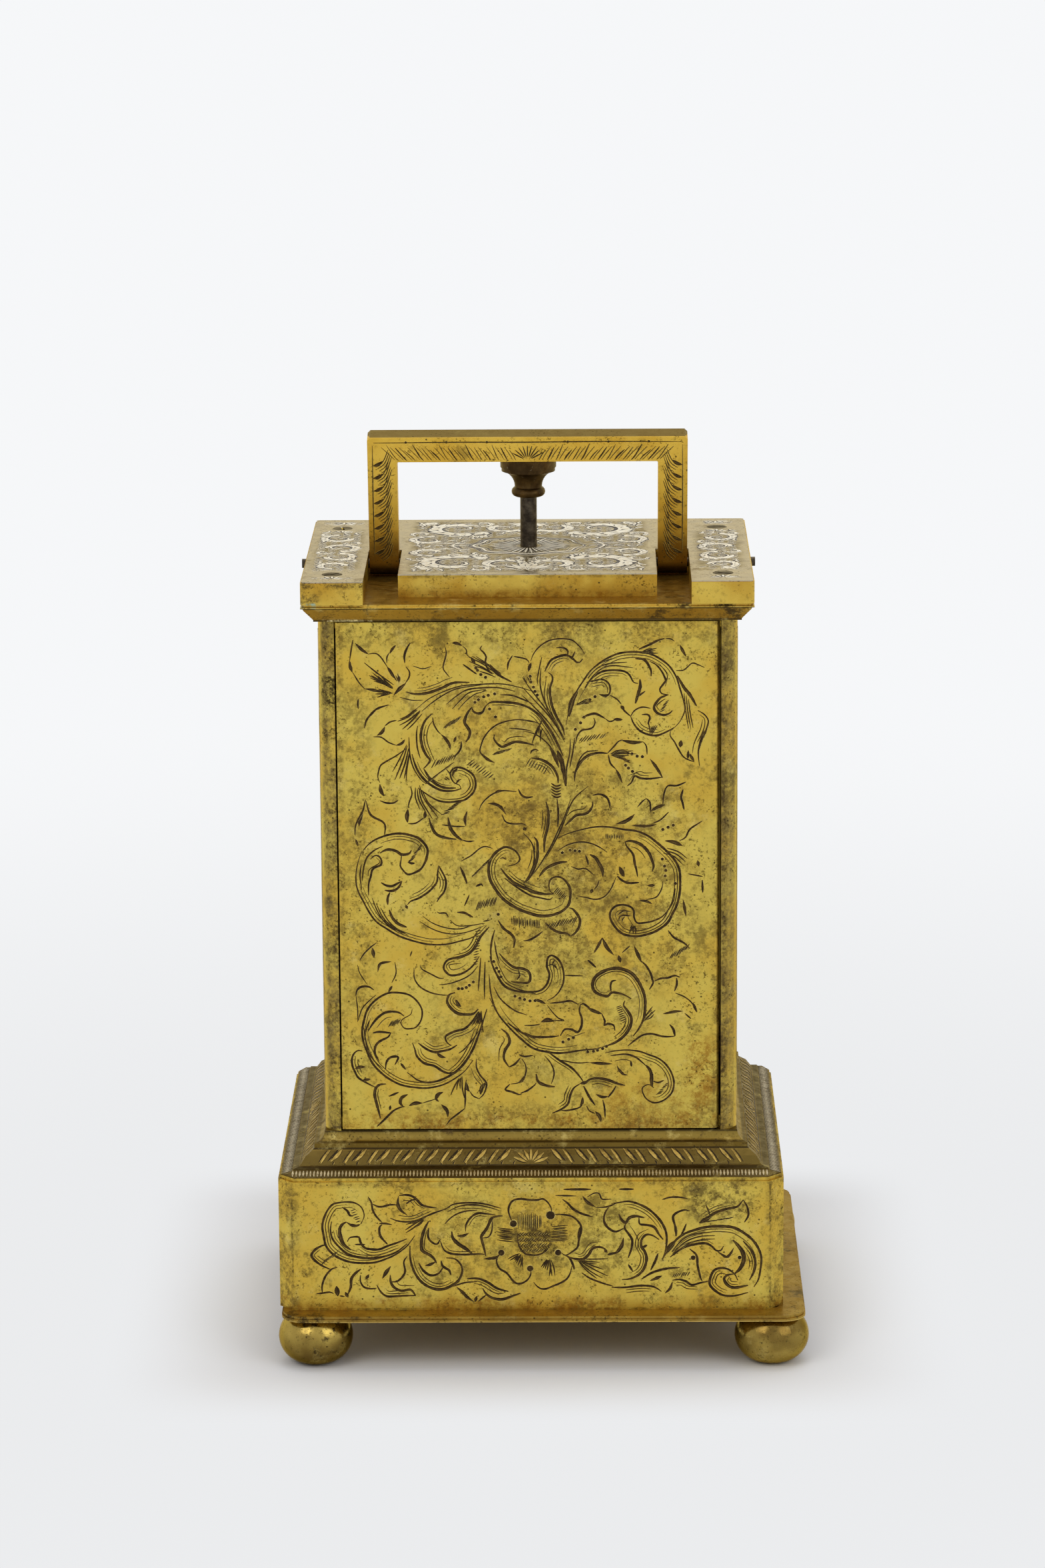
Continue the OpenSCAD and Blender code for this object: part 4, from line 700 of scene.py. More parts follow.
DOOR_TRUNK = (
    (25, 0.5, 83.75, 1, 85, 2, 86.25, 3.5, 87.25, 5, 87.6, 6.5, 87.6, 7.75, 87.3, 8.75, 86.4, 9.4, 85.6,
     9.7, 84.9),
    (40, 2.9, 81.9, 3.4, 83, 4.1, 84, 5.5, 84.6, 6.75, 84.75, 7.75, 84.1, 8.4, 83.5, 8.9, 83.5,
     9.4, 84.1), (30, 4.9, 86.1, 6.25, 86, 6.9, 85.4, 6.75, 84.6), (30, 8.1, 85.4, 7.75, 84.6, 7.4, 84.1),
    (15, 2.4, 84.5, 2, 82.75, 1.6, 80.5, 1.75, 79.5), (20, 2.25, 82.5, 2.1, 79.5, 2.9, 76.5, 4.5, 73.5),
    (45, 3.5, 81.75, 4.1, 81.25, 4.25, 80.5, 4, 79.75, 3.75, 78.75, 3.9, 77, 4.25, 75.5, 5, 73.75,
     5.9, 72.1, 6.25, 70.75), (45, -1, 76.1, 0.25, 75.5, 1.75, 74.4, 3, 72.75, 4, 71.25, 5, 69.25, 6, 67),
    (20, -1, 81, 0.5, 78.75, 2.75, 75.75, 4.75, 72.75, 6.25, 70),
    (20, -1, 79.25, 1, 77, 3.25, 74.5, 5, 72, 6.25, 69.5), (20, -1, 77.75, 1.25, 75.5, 3.5, 73, 5.5, 70),
    (15, -1, 73.5, 0.5, 73.25, 2, 72.75),
    (20, -1, 71.5, 0.75, 71.1, 2.25, 70.25, 3.75, 68.75, 5, 66.75, 6, 64.5),
    (45, 1, 69, -0.5, 69.4, -2.25, 69.6, -3.75, 69, -4.6, 68.75, -5.5, 69.5, -5.9, 70.25, -5.75, 70.9),
    (25, -5.75, 65.9, -7.1, 66.5, -8.25, 67.75, -8.1, 69, -7.5, 70.5, -6.25, 72, -4.5, 73, -1.75, 73.5,
     1, 73), (45, -8.25, 67.75, -7.1, 66.6, -5.75, 65.9), (20, -3.25, 72, -0.75, 71.75, 0.75, 71.4),
    (25, 7.25, 70, 7.1, 67.5, 6.6, 65, 6.5, 61.75), (25, 8, 70.25, 7.6, 67.5, 7.1, 65),
    (60, 5.75, 66.75, 6.1, 64.5, 6.4, 61.75), (80, 5, 68, 5.75, 66, 6.1, 63.75),
    (45, 0.5, 66.75, 2, 66.5, 3.25, 65.9, 4.25, 65, 5, 63.5, 5.1, 62.25),
    (60, 3.6, 69, 4.6, 66.75, 5.25, 65), (30, 3.9, 62.25, 4.75, 61.75, 5.6, 62),
    (30, 3.9, 61.75, 4.75, 61.25, 5.6, 61.5), (30, 3.9, 61.25, 4.75, 60.75, 5.6, 61),
    (30, 3.9, 60.75, 4.75, 60.25, 5.6, 60.5), (30, 3.9, 60.25, 4.75, 59.75, 5.6, 60),
    (30, 0.4, 67.5, 0.6, 68, 1.25, 68.25, 1.75, 68),
)
DOOR_RIGHT = (
    (30, 6.5, 72.5, 7.25, 76, 8.25, 78.25, 9.5, 80.25, 10.75, 82, 12.5, 83.5, 14, 84.4, 15.5, 85,
     17, 85.25, 19, 85.25, 21, 84.9, 22.75, 84, 24.25, 82.75, 25.4, 80.9, 26, 79, 26.6, 77, 26.9, 75.5,
     26.75, 74.5, 26, 73, 25, 71.9, 24.4, 71.4), (80, 7, 74, 7.5, 76.5, 8.5, 78.5),
    (40, 19, 85.75, 20.75, 86.5, 22.25, 87.25, 23.4, 87.6), (20, 23.6, 87.6, 24.5, 87.5, 25.1, 87.1),
    (50, 26, 86.5, 26.5, 85.5, 27.1, 84.4),
    (20, 25.4, 82, 26.75, 82.1, 28.1, 83.25, 29.1, 83, 30.25, 82.5),
    (50, 25.6, 81.1, 26.75, 79, 27.75, 77.75, 28.9, 75.75),
    (30, 29.1, 75, 30.25, 74.25, 30.9, 73.25, 30.75, 72.25, 30.25, 70.75, 29.5, 69.25, 29.2, 67.5,
     29.4, 65.25), (45, 30.25, 71.5, 29.6, 69.5, 29.2, 67.7),
    (35, 9.75, 79, 10.75, 80.5, 12, 81.5, 13.25, 82, 15, 82.1, 16.5, 81.9, 17.4, 81.25, 18.1, 80,
     18.9, 79.75), (55, 19.2, 80.5, 19.25, 79.25, 18.9, 78, 18.4, 76.25), (30, 18.5, 77.25, 20.1, 78.4),
    (20, 10.25, 80.75, 12, 82.5, 14, 83.25, 17, 83.5), (20, 11, 81, 12.5, 82.25, 14.5, 82.9, 18, 82.5),
    (20, 10, 81.25, 11.5, 82.75, 13, 83.6, 15, 84.25),
    (40, 18.4, 84.1, 19.75, 84, 20.5, 83.25, 21.1, 82, 21.1, 81),
    (30, 20.9, 83.6, 22, 83, 22.9, 81.9, 23.4, 80.9, 23.6, 80.25, 23.1, 79.5, 22.6, 78.75, 22.9, 78,
     24.1, 77.75),
    (45, 24, 77.75, 22.75, 77.25, 22, 76.4, 21.6, 75.5, 22.1, 74.6, 23.25, 74.2, 24.25, 74.5, 24.75, 75),
    (25, 17.6, 74, 18.25, 75, 19.5, 75.6, 21, 75.4),
    (35, 17.6, 74, 18.1, 72.75, 19, 71.6, 20.25, 70.9, 22, 70.6, 23.75, 71.25, 25, 72),
    (30, 19.5, 74.3, 20.5, 74.3, 20.9, 73.75, 20.6, 72.75, 21, 72), (55, 15.9, 75.9, 16.5, 75.2),
    (30, 16, 75.75, 16.5, 75, 17.6, 74),
    (30, 10, 80, 11.25, 80.25, 12.75, 80.5, 13.75, 79.9, 14.1, 79, 14, 78.1, 13.5, 77.6, 12.25, 77.9),
    (50, 14, 78, 13.3, 77.6, 12.2, 77.9), (20, 14, 77.75, 15.25, 77, 16, 76.1),
    (40, 9.25, 73.75, 10.25, 74.25, 11.5, 74.5, 12.6, 74, 13.25, 73.6),
    (20, 13.25, 73.6, 14, 73.1, 15, 73.4), (50, 14.6, 73.5, 16.2, 73.4),
    (30, 11.25, 73.75, 11.5, 73, 11.1, 72.1, 10.25, 71.75, 9.25, 71.6, 8.5, 70.75, 8.1, 69.25),
    (45, 7.9, 62.6, 8.1, 64.25, 9, 66, 10.25, 67.1, 12, 67.6, 13.6, 67.5),
    (20, 8.25, 65.25, 9, 66.75, 10, 67.75, 12, 68),
    (25, 13.6, 67.5, 14.75, 68.75, 15.5, 69.6, 16.25, 69.9), (60, 16, 69.8, 18, 69.4, 19.75, 69.5),
    (20, 19.75, 69.5, 20.25, 68.75, 20.4, 67.25), (30, 13.75, 67.25, 14.1, 65.75, 15, 64.75),
    (45, 15, 64.75, 15.6, 63.6, 16.1, 62.25),
    (35, 17, 61.75, 17.75, 62.4, 18.25, 63.5, 19.25, 63.1, 20.75, 63, 23.1, 63.25),
    (50, 20.9, 66.5, 22, 65, 23.1, 63.1), (45, 16, 66.75, 17.5, 65.8),
    (25, 24.4, 71.4, 24.4, 70.5, 25.1, 69.5, 25.75, 68.25, 26.75, 66.75, 28.5, 65.9),
    (70, 26.25, 69.75, 26.1, 68.5), (50, 27.5, 68, 27.4, 66.5), (45, 27.6, 67.5, 28.5, 66),
    (15, 26.75, 78, 27, 75, 27.5, 71.75), (15, 27.1, 77.6, 27.4, 74.6, 27.9, 71.75),
    (15, 27.5, 77, 27.8, 74.4, 28.3, 71.9),
)
DOOR_MIDDLE = (
    (40, 5, 52.5, 6.5, 53.25, 9, 54, 11.5, 54.5, 14, 54.45, 16.5, 54, 18.5, 53.75, 20.5, 52.9, 22, 51.75,
     23.5, 50.4, 25, 48.75, 25.9, 47, 26.1, 45, 26, 42.75, 25.5, 40.5, 24.75, 39, 24, 37.5, 22.5, 36.25,
     21, 35.5, 19, 35, 17.5, 35.05, 16, 35.5, 14.75, 36.75, 14, 38.25, 14.1, 39.5, 15, 40.4, 16.25, 40.6,
     17.5, 40.25, 18.1, 39.5, 18.1, 38.5, 18.6, 37.4, 20, 37.4, 21.5, 37.75, 23, 38.5, 24.25, 40,
     25, 41.5, 25.25, 43.5), (30, 15.5, 37.75, 15.6, 38.4, 16.25, 38.75, 17.5, 38.6),
    (25, 16, 37.5, 16.1, 38, 16.5, 38.5), (25, 15.25, 38.75, 16.25, 39.5, 17.5, 39.4),
    (70, 23.5, 52, 25, 51.75, 26.5, 51.1), (30, 26, 52, 27, 52.6, 27.75, 54, 29, 54.9, 29.9, 55.5),
    (60, 15, 55, 16.5, 55.4, 17.5, 56, 18.25, 56.75), (50, 17.75, 54.75, 20.25, 54.6, 22, 54.9),
    (25, 21.4, 55.1, 22.75, 55.75, 24.1, 57.1), (60, 21, 57.25, 22.25, 58, 23.5, 58.4),
    (30, 20.25, 59.5, 20.9, 58.75, 21, 57), (20, 18.75, 58, 19.5, 58.9, 20.25, 59.5),
    (30, 23.1, 58.25, 23.25, 60, 23.6, 61.25, 24, 61.75),
    (30, 23.4, 60.75, 24, 61.75, 25.5, 61.75, 27.1, 62.4),
    (40, 26.6, 61.1, 26.25, 59.75, 26.5, 58.75, 26.75, 57.5),
    (50, 16.5, 51.75, 17.25, 52, 18.5, 51.75, 19.75, 51, 20.75, 49.75, 21.25, 48.5, 21.5, 47.5,
     21.25, 46.5), (40, 16.6, 51.75, 16.9, 51, 17.4, 50.4, 18, 49.5, 18.25, 48, 18.5, 47, 18.75, 45.6),
    (40, 15.25, 45.75, 16, 45, 17.25, 44.5, 19, 44.6), (50, 20.4, 44, 21.75, 44.1),
    (45, 19, 41.4, 20.25, 41.25, 21.25, 40.75), (20, 20.25, 41.5, 22, 42, 22.9, 43.5, 23.1, 44.75),
    (25, 5, 50.25, 6.5, 51.25, 8.5, 51.8, 10.25, 51.7, 12, 51, 13.5, 50),
    (50, 1.75, 45.75, 2.75, 47, 4, 47.75, 5.5, 48.25, 6.6, 48.3),
    (25, 7.25, 47.5, 8.5, 47, 9.75, 47.1, 11.25, 45.9), (35, 9.75, 49.5, 10.1, 48.5, 10.25, 47.75),
    (60, 10.5, 49.6, 11.5, 49, 12.1, 48, 12.6, 47, 12.75, 45.6), (25, 12.1, 45, 11.75, 44, 11.25, 43.4),
    (80, 10.5, 43.2, 11.1, 43),
    (25, 8.25, 42.25, 10, 41.9, 11.5, 41.6, 13, 42.1, 14, 43.25, 14.6, 44.5, 15, 45.5),
    (60, 29.1, 48.5, 29.3, 47.4), (45, 26.6, 41.5, 27.1, 38.5), (25, 27.5, 46.1, 30, 45.6),
    (35, 29.9, 45, 30, 42.75), (35, 24, 36, 25, 34.75, 26.75, 33.75, 27.75, 32.75),
    (80, 15.6, 47.4, 16.4, 45.6), (20, 23.5, 50.25, 25.4, 49.6, 27, 48.25),
    (20, 23.8, 50.7, 25.8, 50, 27.3, 48.8), (20, 23.2, 49.8, 25, 49.2, 26.5, 47.8),
)
DOOR_LOWER = (
    (50, 12.6, 34.75, 11.9, 33.3, 11.1, 32), (60, 12.6, 34.75, 13.4, 33, 14.6, 31.6),
    (60, 15.4, 31.6, 15.75, 30.25), (20, 16, 32, 17.4, 33.25),
    (55, 18.1, 33.25, 18.75, 31.75, 19.4, 30.25),
    (40, 19.4, 30.5, 20.25, 29.6, 21, 28.25, 21.25, 27.25, 21.4, 26.6, 20.75, 25.4),
    (35, 21.6, 26.9, 22.75, 27.4, 24, 27.5, 25.1, 27.9, 26.1, 27.6),
    (35, 25.5, 27.5, 25.5, 26.25, 25.1, 25.1), (20, 25.25, 24.75, 26.75, 24.1, 28, 23.1, 28.75, 21.75),
    (50, 28.3, 23, 29, 21.25), (25, 26.9, 21.1, 28, 20.1), (50, 23.1, 21, 25, 21.4, 26.6, 21.5),
    (40, 24.25, 19.1, 24.9, 18.25, 25.2, 17),
    (35, 25.2, 17, 24, 16.9, 22.75, 17, 21.25, 17.4, 19.75, 17.25, 18.5, 16.5, 17, 15.25),
    (40, 10.1, 30.75, 11.5, 29.4),
    (35, -7, 24, -5.5, 21, -3.5, 18.5, -1.5, 16.5, 0.5, 14.9, 2.75, 14.25, 5.5, 14, 9, 14.5, 11.5, 14.75,
     13.5, 15.4),
    (55, 17.9, 17, 19, 18.5, 19.75, 20.25, 20, 22.25, 19.95, 24, 19.5, 25.5, 18.75, 27, 17.75, 28.25,
     16.5, 28.95, 15, 29.25, 13.5, 29, 12, 28.25, 11.1, 27.25, 10.9, 26, 11.25, 25.1, 12.25, 24.5,
     13.5, 24.25, 14.25, 24.9, 15.5, 24.75, 16.5, 24.4, 17.6, 23.75),
    (35, 15, 27.1, 14.25, 26.9, 14, 26, 14.1, 25),
    (50, 16.5, 23.4, 16.25, 22.6, 17, 21.5, 17.6, 20.25, 17.4, 18.75, 16.5, 17.25, 15, 16, 13.25, 15.25),
    (40, 5.25, 17.1, 6, 18.25, 7.25, 18.25, 8.25, 17.75, 8.9, 18.75, 9, 20.25, 8.6, 21.5, 8.75, 22.75),
    (60, 10, 22.1, 11.3, 21.5, 12.6, 21), (35, 8.75, 22.75, 9.25, 22.9, 10.5, 22),
    (35, 12.5, 21, 13, 19.75, 12.9, 19, 13.5, 19.25, 14.5, 19, 14.75, 18),
    (50, 0.75, 23.75, 1.75, 23.4, 2.75, 22.9), (20, 3, 22.6, 4, 21.25, 5, 20.25, 5.9, 19.9, 4, 19.9),
    (70, 1.9, 19.6, 3, 20, 4.25, 19.75), (35, 3.5, 23, 5.5, 23.2, 7.1, 23.4, 8.4, 22.75),
    (20, -1, 19, 0.5, 19, 1.75, 19.25), (40, -1, 17.75, 0.5, 17, 2.75, 16.9, 5, 17.1),
    (30, -4, 19.5, -1.5, 17.75, 1, 16.5),
    (35, 3, 23.5, 4, 24, 5, 25, 5.75, 26.5, 5.9, 28.25, 5.5, 30, 4.75, 31.1, 3.75, 31.6, 3.1, 31,
     3, 29.5, 3.4, 28.25, 3.1, 26.75, 2.25, 25.6, 1, 25.1, -1, 25.2, -3, 26, -4.5, 27),
    (20, 3.1, 29.75, 4, 29.9, 4.9, 29),
    (45, -5.25, 32, -4.25, 30.75, -2.75, 29.5, -1.25, 29.25, -0.25, 28.75, 0.1, 27.75, -0.25, 26.75,
     -1.75, 26.75, -3.25, 26.9), (30, -2, 29, -1.75, 28, -2.25, 27.25), (25, 6, 28, 9.25, 27.9),
    (40, -6.9, 31.5, -6.5, 30, -5.75, 28.25, -4.5, 26.25, -2.5, 25.25, 1, 24.75),
    (25, -6.25, 26, -5.25, 24, -3.75, 22.5, -2.25, 21.5, -0.5, 20.9),
    (30, 13, 14, 15, 14.4, 17, 14.5, 19, 14.25, 20.75, 13.6, 22.25, 13, 23.5, 12, 24.5, 10.5, 25, 8.75,
     24.75, 7, 23.75, 5.75, 22.5, 5.05, 21.25, 5, 20.1, 5.75, 19.5, 7, 19.6, 7.75, 20.5, 8.25, 21.1, 8,
     21.5, 7.6), (60, 20.1, 11.75, 20.75, 11, 21.1, 10, 21.1, 8.75, 21.25, 7.75),
    (30, 21.25, 8.9, 22.25, 8.6, 23.25, 9),
    (30, 14, 13.5, 16.5, 13.75, 18.25, 13.25, 19.5, 12.25, 20.25, 11.5),
    (45, 10.25, 12.25, 12.25, 12.1, 14.25, 12), (45, 15.1, 11.75, 15.4, 11, 16.25, 10.1, 17, 10),
    (40, 17.5, 12.5, 17.6, 11.5), (35, 2.75, 14.5, 5, 12.75, 7.25, 11.25, 8.75, 9.5, 9.25, 8.6),
    (20, 5, 12.75, 8, 12.2, 10.25, 12.3), (60, 8.6, 8.4, 10.1, 8.8),
    (45, 9.4, 8.6, 10.5, 9.25, 12, 9.4, 13.75, 9, 15.25, 8.4, 16.5, 8.1),
    (50, 11.4, 6.5, 12.5, 6, 13.5, 6.1), (30, 13.5, 5.9, 14.5, 7.25, 14.9, 8),
    (35, 8.6, 8.4, 7.5, 7.6, 6.9, 6.25, 6.5, 4.75, 5.25, 3.75, 3.75, 3.1),
    (30, 5.25, 3.6, 6.5, 3.6, 8.25, 4, 9, 4.5), (50, 8.6, 4.3, 9, 5, 9.1, 6),
    (25, 9.75, 4.4, 10.25, 3.5, 11.25, 3), (60, 11.25, 3.4, 12, 2.5, 12.25, 1.5),
    (30, 12.6, 5.5, 12.9, 4, 13, 2.25), (40, 9.25, 8, 10.25, 6, 11.25, 4.5),
    (45, -5, 18.4, -4, 17.5, -3.6, 16, -4.4, 14.5, -4.6, 13, -3.75, 11.5),
    (35, -3.75, 11.5, -2.75, 12, -1.75, 13.1), (30, -2, 13.75, -1, 13.4, 0.5, 13.6),
    (25, -1.5, 13, -0.9, 12, -0.75, 10.75, -1.25, 9.25, -2.25, 8.6, -3.4, 8.4),
    (50, -1, 10, -1.5, 9, -2.25, 8.6), (35, -3.6, 8.4, -4.4, 7.4, -3.25, 7, -2, 6.5, -1.5, 6.6),
    (30, -1.75, 6.75, -0.5, 7.25, 0.75, 8.25, 1, 8.6),
    (50, 1, 10.25, 1.25, 9, 2, 8.4, 3.25, 8, 4.25, 7.9),
    (25, 3.6, 8.4, 4, 9.5, 4.1, 10.75, 3.5, 12.25, 2.5, 13.5),
)
DOOR_CORNER = (
    (40, -7.5, 22, -8.75, 18, -10, 14.75, -11.5, 12.25, -13.25, 10.5, -15.5, 9.25, -17.75, 8.75,
     -19.5, 9.1, -20.75, 10, -21.5, 10.6),
    (35, -10, 12.75, -11.5, 10.75, -13.5, 9.25, -15.5, 8.25, -18, 7.75, -20.5, 7.9, -22.75, 8.4,
     -24.75, 9.5, -26.25, 10.75, -27.5, 12.25, -28.4, 14.25, -29, 16, -29.25, 18, -28.9, 20, -28.25, 22,
     -26.75, 23.75, -24.75, 24.9, -22.75, 25, -21, 24.6, -19.75, 23.6, -18.9, 22.25, -18.75, 21,
     -19.1, 19.75, -19.9, 18.75, -20.9, 18.5, -21.9, 18.6, -22.5, 19.5, -22.4, 20, -21.75, 20.5,
     -20.75, 21.1, -20.5, 22),
    (40, -28.25, 18, -27.5, 19.25, -26.5, 20.5, -25.25, 21.4, -24, 21.6, -22.75, 21.4, -21.9, 20.75),
    (40, -27.4, 17.75, -26.25, 17.95, -24.25, 17.75),
    (40, -24.25, 17.75, -24.75, 17, -25.75, 16.5, -26.5, 16, -27, 15.25, -27.1, 14.25, -26.75, 13.4,
     -26.4, 12.75), (40, -25.25, 11.25, -25.1, 12.4, -24.5, 13.25, -23.5, 13.5, -23, 13.25, -23.6, 12),
    (40, -22.6, 12.25, -21.75, 11.1), (20, -29.9, 20, -29.25, 22, -28.25, 23.25, -26.75, 24.6),
    (20, -29, 19, -28.75, 17, -28.25, 14.5, -27.25, 12.75, -25.75, 11.25),
    (20, -28, 20, -28.6, 18.25, -28.85, 16.5),
    (35, -30.25, 24.5, -30, 25.5, -29.25, 26.1, -28, 26.1, -27.1, 25.5),
    (15, -30.25, 24.5, -30, 22, -30, 19.75), (45, -23.9, 26.25, -24.6, 25.1),
    (45, -26.4, 28.75, -26.1, 30, -25.5, 30.4, -24, 30.6),
    (25, -29.5, 30.75, -28.75, 32, -27.5, 33.25, -26.5, 34), (60, -27.25, 33.1, -27, 31.25),
    (15, -29.9, 30, -29.5, 28.5, -28.25, 26.5), (15, -23.4, 30.5, -23.25, 28.5, -24, 26.75),
    (35, -29.25, 14.5, -30, 14.6, -30.75, 14, -31.1, 13, -31, 11.75, -30.6, 10.75, -30.1, 9.75,
     -29.25, 9.1, -27.75, 8.25, -27, 7.9), (50, -30.6, 11.25, -29.75, 11.6, -28.75, 11.6),
    (50, -29.5, 9.1, -27.9, 9.4),
    (50, -25.25, 8.5, -26.25, 8.4, -27, 7.75, -27.2, 6.5, -26.9, 5, -26.6, 3.75, -26.25, 2.25),
    (35, -26.9, 0.75, -25.5, 2.1, -24, 3.6, -22.75, 4.25, -22, 4.4), (40, -24.5, 4.6, -24.6, 3.75),
    (60, -21.4, 6.6, -22.5, 6, -22.75, 5, -22.1, 4.25), (55, -21.25, 4.5, -20.25, 5, -18.9, 5),
    (15, -18.9, 5, -16.5, 5.75), (60, -15.25, 7, -16.1, 6.6, -16.5, 5.75, -16, 5.25),
    (60, -15.6, 4.75, -14.6, 3.6, -14.5, 2.4), (30, -14.75, 1, -14, 2, -12.75, 3, -11.5, 4),
    (30, -11.5, 4, -11.4, 5.75, -11.4, 7.5, -11.2, 9.25), (50, -11.25, 8.9, -11, 7.5, -10.6, 7.1),
    (20, -10.6, 7.1, -10, 6.25, -9, 5.75), (70, -7.75, 8.75, -8.5, 7.75, -8.75, 6.5),
    (30, -9, 5.75, -8.25, 6.5, -7.75, 7.75, -7.75, 8.75, -8.75, 10, -9.4, 11.5, -9.4, 13),
    (35, -24.75, 6.25, -23, 7),
    (40, -20.5, 15.9, -20.1, 14.75, -19.75, 13.5, -18.5, 12.25, -16.75, 11.75, -15.25, 10.75, -14, 10.4,
     -12.75, 10.75, -12, 11),
    (40, -19.5, 15.9, -18.5, 15.1, -17.5, 14.5, -16.5, 14.25, -15.5, 14.4, -14, 14.75, -12.75, 15.5),
    (50, -16.4, 14.25, -15.6, 13.5, -14.75, 13.25),
    (40, -13.75, 15.4, -14.5, 16, -14.75, 17, -14, 17.6, -12.75, 18.1, -11.5, 18.4, -10.5, 19.25,
     -9.5, 20.5, -9, 21.5),
    (50, -13, 25, -14, 24.6, -14.4, 23.5, -14, 22.5, -13, 21.5, -12, 21.1, -10, 21.1, -9, 22),
    (60, -12.9, 23.75, -12.5, 22.9, -12, 22.4),
    (35, -10.5, 31.9, -12, 31.25, -13.5, 31.1, -14.5, 30.6, -14.95, 29.5, -14.6, 28.75, -13.75, 28.1,
     -12.25, 28.25, -10.75, 29, -9.5, 30.25, -8.75, 31.5),
    (45, -7, 36.75, -8.5, 35, -9.25, 33.5, -10.25, 32.25, -11.5, 31.6, -13, 31.25, -14.25, 31),
    (25, -19, 30, -18.75, 29.25, -17, 28.25, -15.75, 27.6, -14.9, 27.6),
    (25, -20.1, 29.5, -20, 27.5, -19, 26, -17.25, 25, -15.5, 24.6, -14.25, 24.5),
    (20, -20.75, 31.5, -20.4, 32.5), (20, -15.75, 26.4, -14, 26.6, -12, 27.25, -10.25, 28.25, -9, 29.75),
    (30, -6, 36.25, -6.5, 34.5, -6.75, 32.5, -6.6, 30.75), (25, -6.1, 34.25, -5.75, 32, -5.25, 30.25),
    (20, -8.5, 31.25, -8.75, 28.25, -9, 25.25), (20, -7.75, 30.5, -7.9, 27, -7.9, 23.75),
    (20, -7.1, 28.25, -6.75, 24.5, -5.75, 21.5, -4, 19),
    (45, -5.4, 37.9, -4.5, 36.5, -3.25, 35.5, -2.6, 34.5, -2.75, 33),
    (25, -9, 18, -10, 16.5, -11.5, 14.75, -12.5, 14),
)
# A dot is across, up and radius, and a fan is across, up, first and last angle, lines,
# nearest and furthest reach; a rake is its two ends, the angle and length of its lines, and lines.
DOOR_DOTS = (
    (-9.1, 76.6), (-8.5, 77.05), (-7.6, 77.55), (-6.8, 77.8), (-5.7, 78.05), (-6.6, 75.4), (-5.6, 74),
    (-8.9, 82.6), (-8.6, 82.2), (-8.05, 81.45), (-7.25, 80.95), (0.4, 81.1), (0.5, 80.1), (0.95, 79.2),
    (1.2, 78.45), (1.6, 77.8), (10.6, 76.95), (11.5, 77.5), (9.6, 73.9), (9, 72.9), (8.1, 71.75),
    (17.1, 67.5), (17.8, 67.4), (18.7, 67), (19.6, 66.9), (16.7, 65.4), (17.2, 64.9), (17.9, 64.3),
    (23.1, 54), (24, 54.4), (24.9, 54.75), (23, 48.75), (23.4, 47.5), (23.6, 46.75), (23.5, 45.75),
    (25.25, 44.4), (5.75, 49.95), (7.1, 50.4), (7.95, 50.3), (8.7, 50.2), (13.25, 15.2), (12.6, 14.8),
    (11.7, 14.5), (11, 14.3), (10, 14.2), (7.5, 16.8), (6.7, 16.5), (5.7, 16), (-2.6, 24.3),
    (-1.75, 23.95), (-0.95, 23.7), (0, 23.45), (0.9, 23.5), (-6.25, 30.55), (-5.75, 29.4), (-5.35, 28.75),
    (-5, 27.8), (-12.4, 25.7), (-11.75, 25.7), (-11.05, 25.9), (-10.5, 26.3), (-9.8, 26.9), (-5.4, 39),
)
DOOR_FANS = (
    (-22.7, 78.8, 133, 157, 9, 0.6, 5.5), (-23, 78.3, 165, 195, 6, 0.5, 3.5),
    (-22, 79.5, 85, 115, 6, 0.6, 2.6), (-2.5, 79.8, 140, 158, 7, 2.5, 9), (1.2, 77.6, 105, 125, 4, 2, 5),
    (8, 76, 5, 30, 6, 0.4, 3.2), (19, 85, 0, 22, 5, 0.3, 4), (13.8, 67.3, -18, 18, 9, 0.4, 5),
    (19, 19, 38, 55, 6, 1, 4.6), (-8.5, 22.3, 235, 275, 10, 0.8, 5), (-12, 10.5, 245, 275, 4, 0.8, 5),
    (3, 76, 250, 262, 5, 3, 8), (-12.5, 62, 100, 150, 6, 1.6, 3.6), (21, 70.4, 60, 100, 6, 0.5, 2.4),
    (18, 37.5, 240, 290, 6, 0.5, 2.2),
)
DOOR_RAKES = (
    (-17, 62.8, -13.4, 65.6, 35, 2.2, 13), (-16.2, 65.8, -12.6, 67, 60, 1.8, 10),
    (-14.4, 57, -12, 59, 15, 1.8, 8), (-9, 40.5, -5.8, 41.4, 70, 1.9, 12),
    (-9.5, 46, -6.8, 48.8, 35, 1.6, 14), (-3, 37.8, 1.75, 37.2, 92, 1.9, 20),
    (3.4, 36.9, 8, 38, 60, 1.6, 14), (13.25, 52.75, 16.25, 52.75, 90, 1, 11),
    (24.6, 31.4, 27.4, 33, 60, 1.6, 9), (-8.9, 36, -9.4, 30, 15, 1.1, 14),
    (-14, 72.6, -12, 73.6, 45, 2, 10), (-10, 66, -6.5, 63.5, 40, 1.6, 10),
    (-5.6, 67.6, -3.4, 68.2, 30, 1.6, 9), (0, 66, 3, 64.6, 60, 1.6, 8), (9, 70, 13, 70.6, 50, 1.6, 9),
    (-20.5, 48.6, -18.8, 51, 30, 1.3, 8), (4.6, 43.2, 6.2, 42, 50, 1.4, 8),
    (15.4, 22.4, 16.4, 19.6, 20, 1.3, 9), (-24.4, 19.4, -22.8, 19.8, 60, 1.4, 7),
    (22.4, 6.6, 23.8, 8.4, 20, 1.2, 6), (23, 75, 23.8, 76.6, 30, 1.2, 6),
)
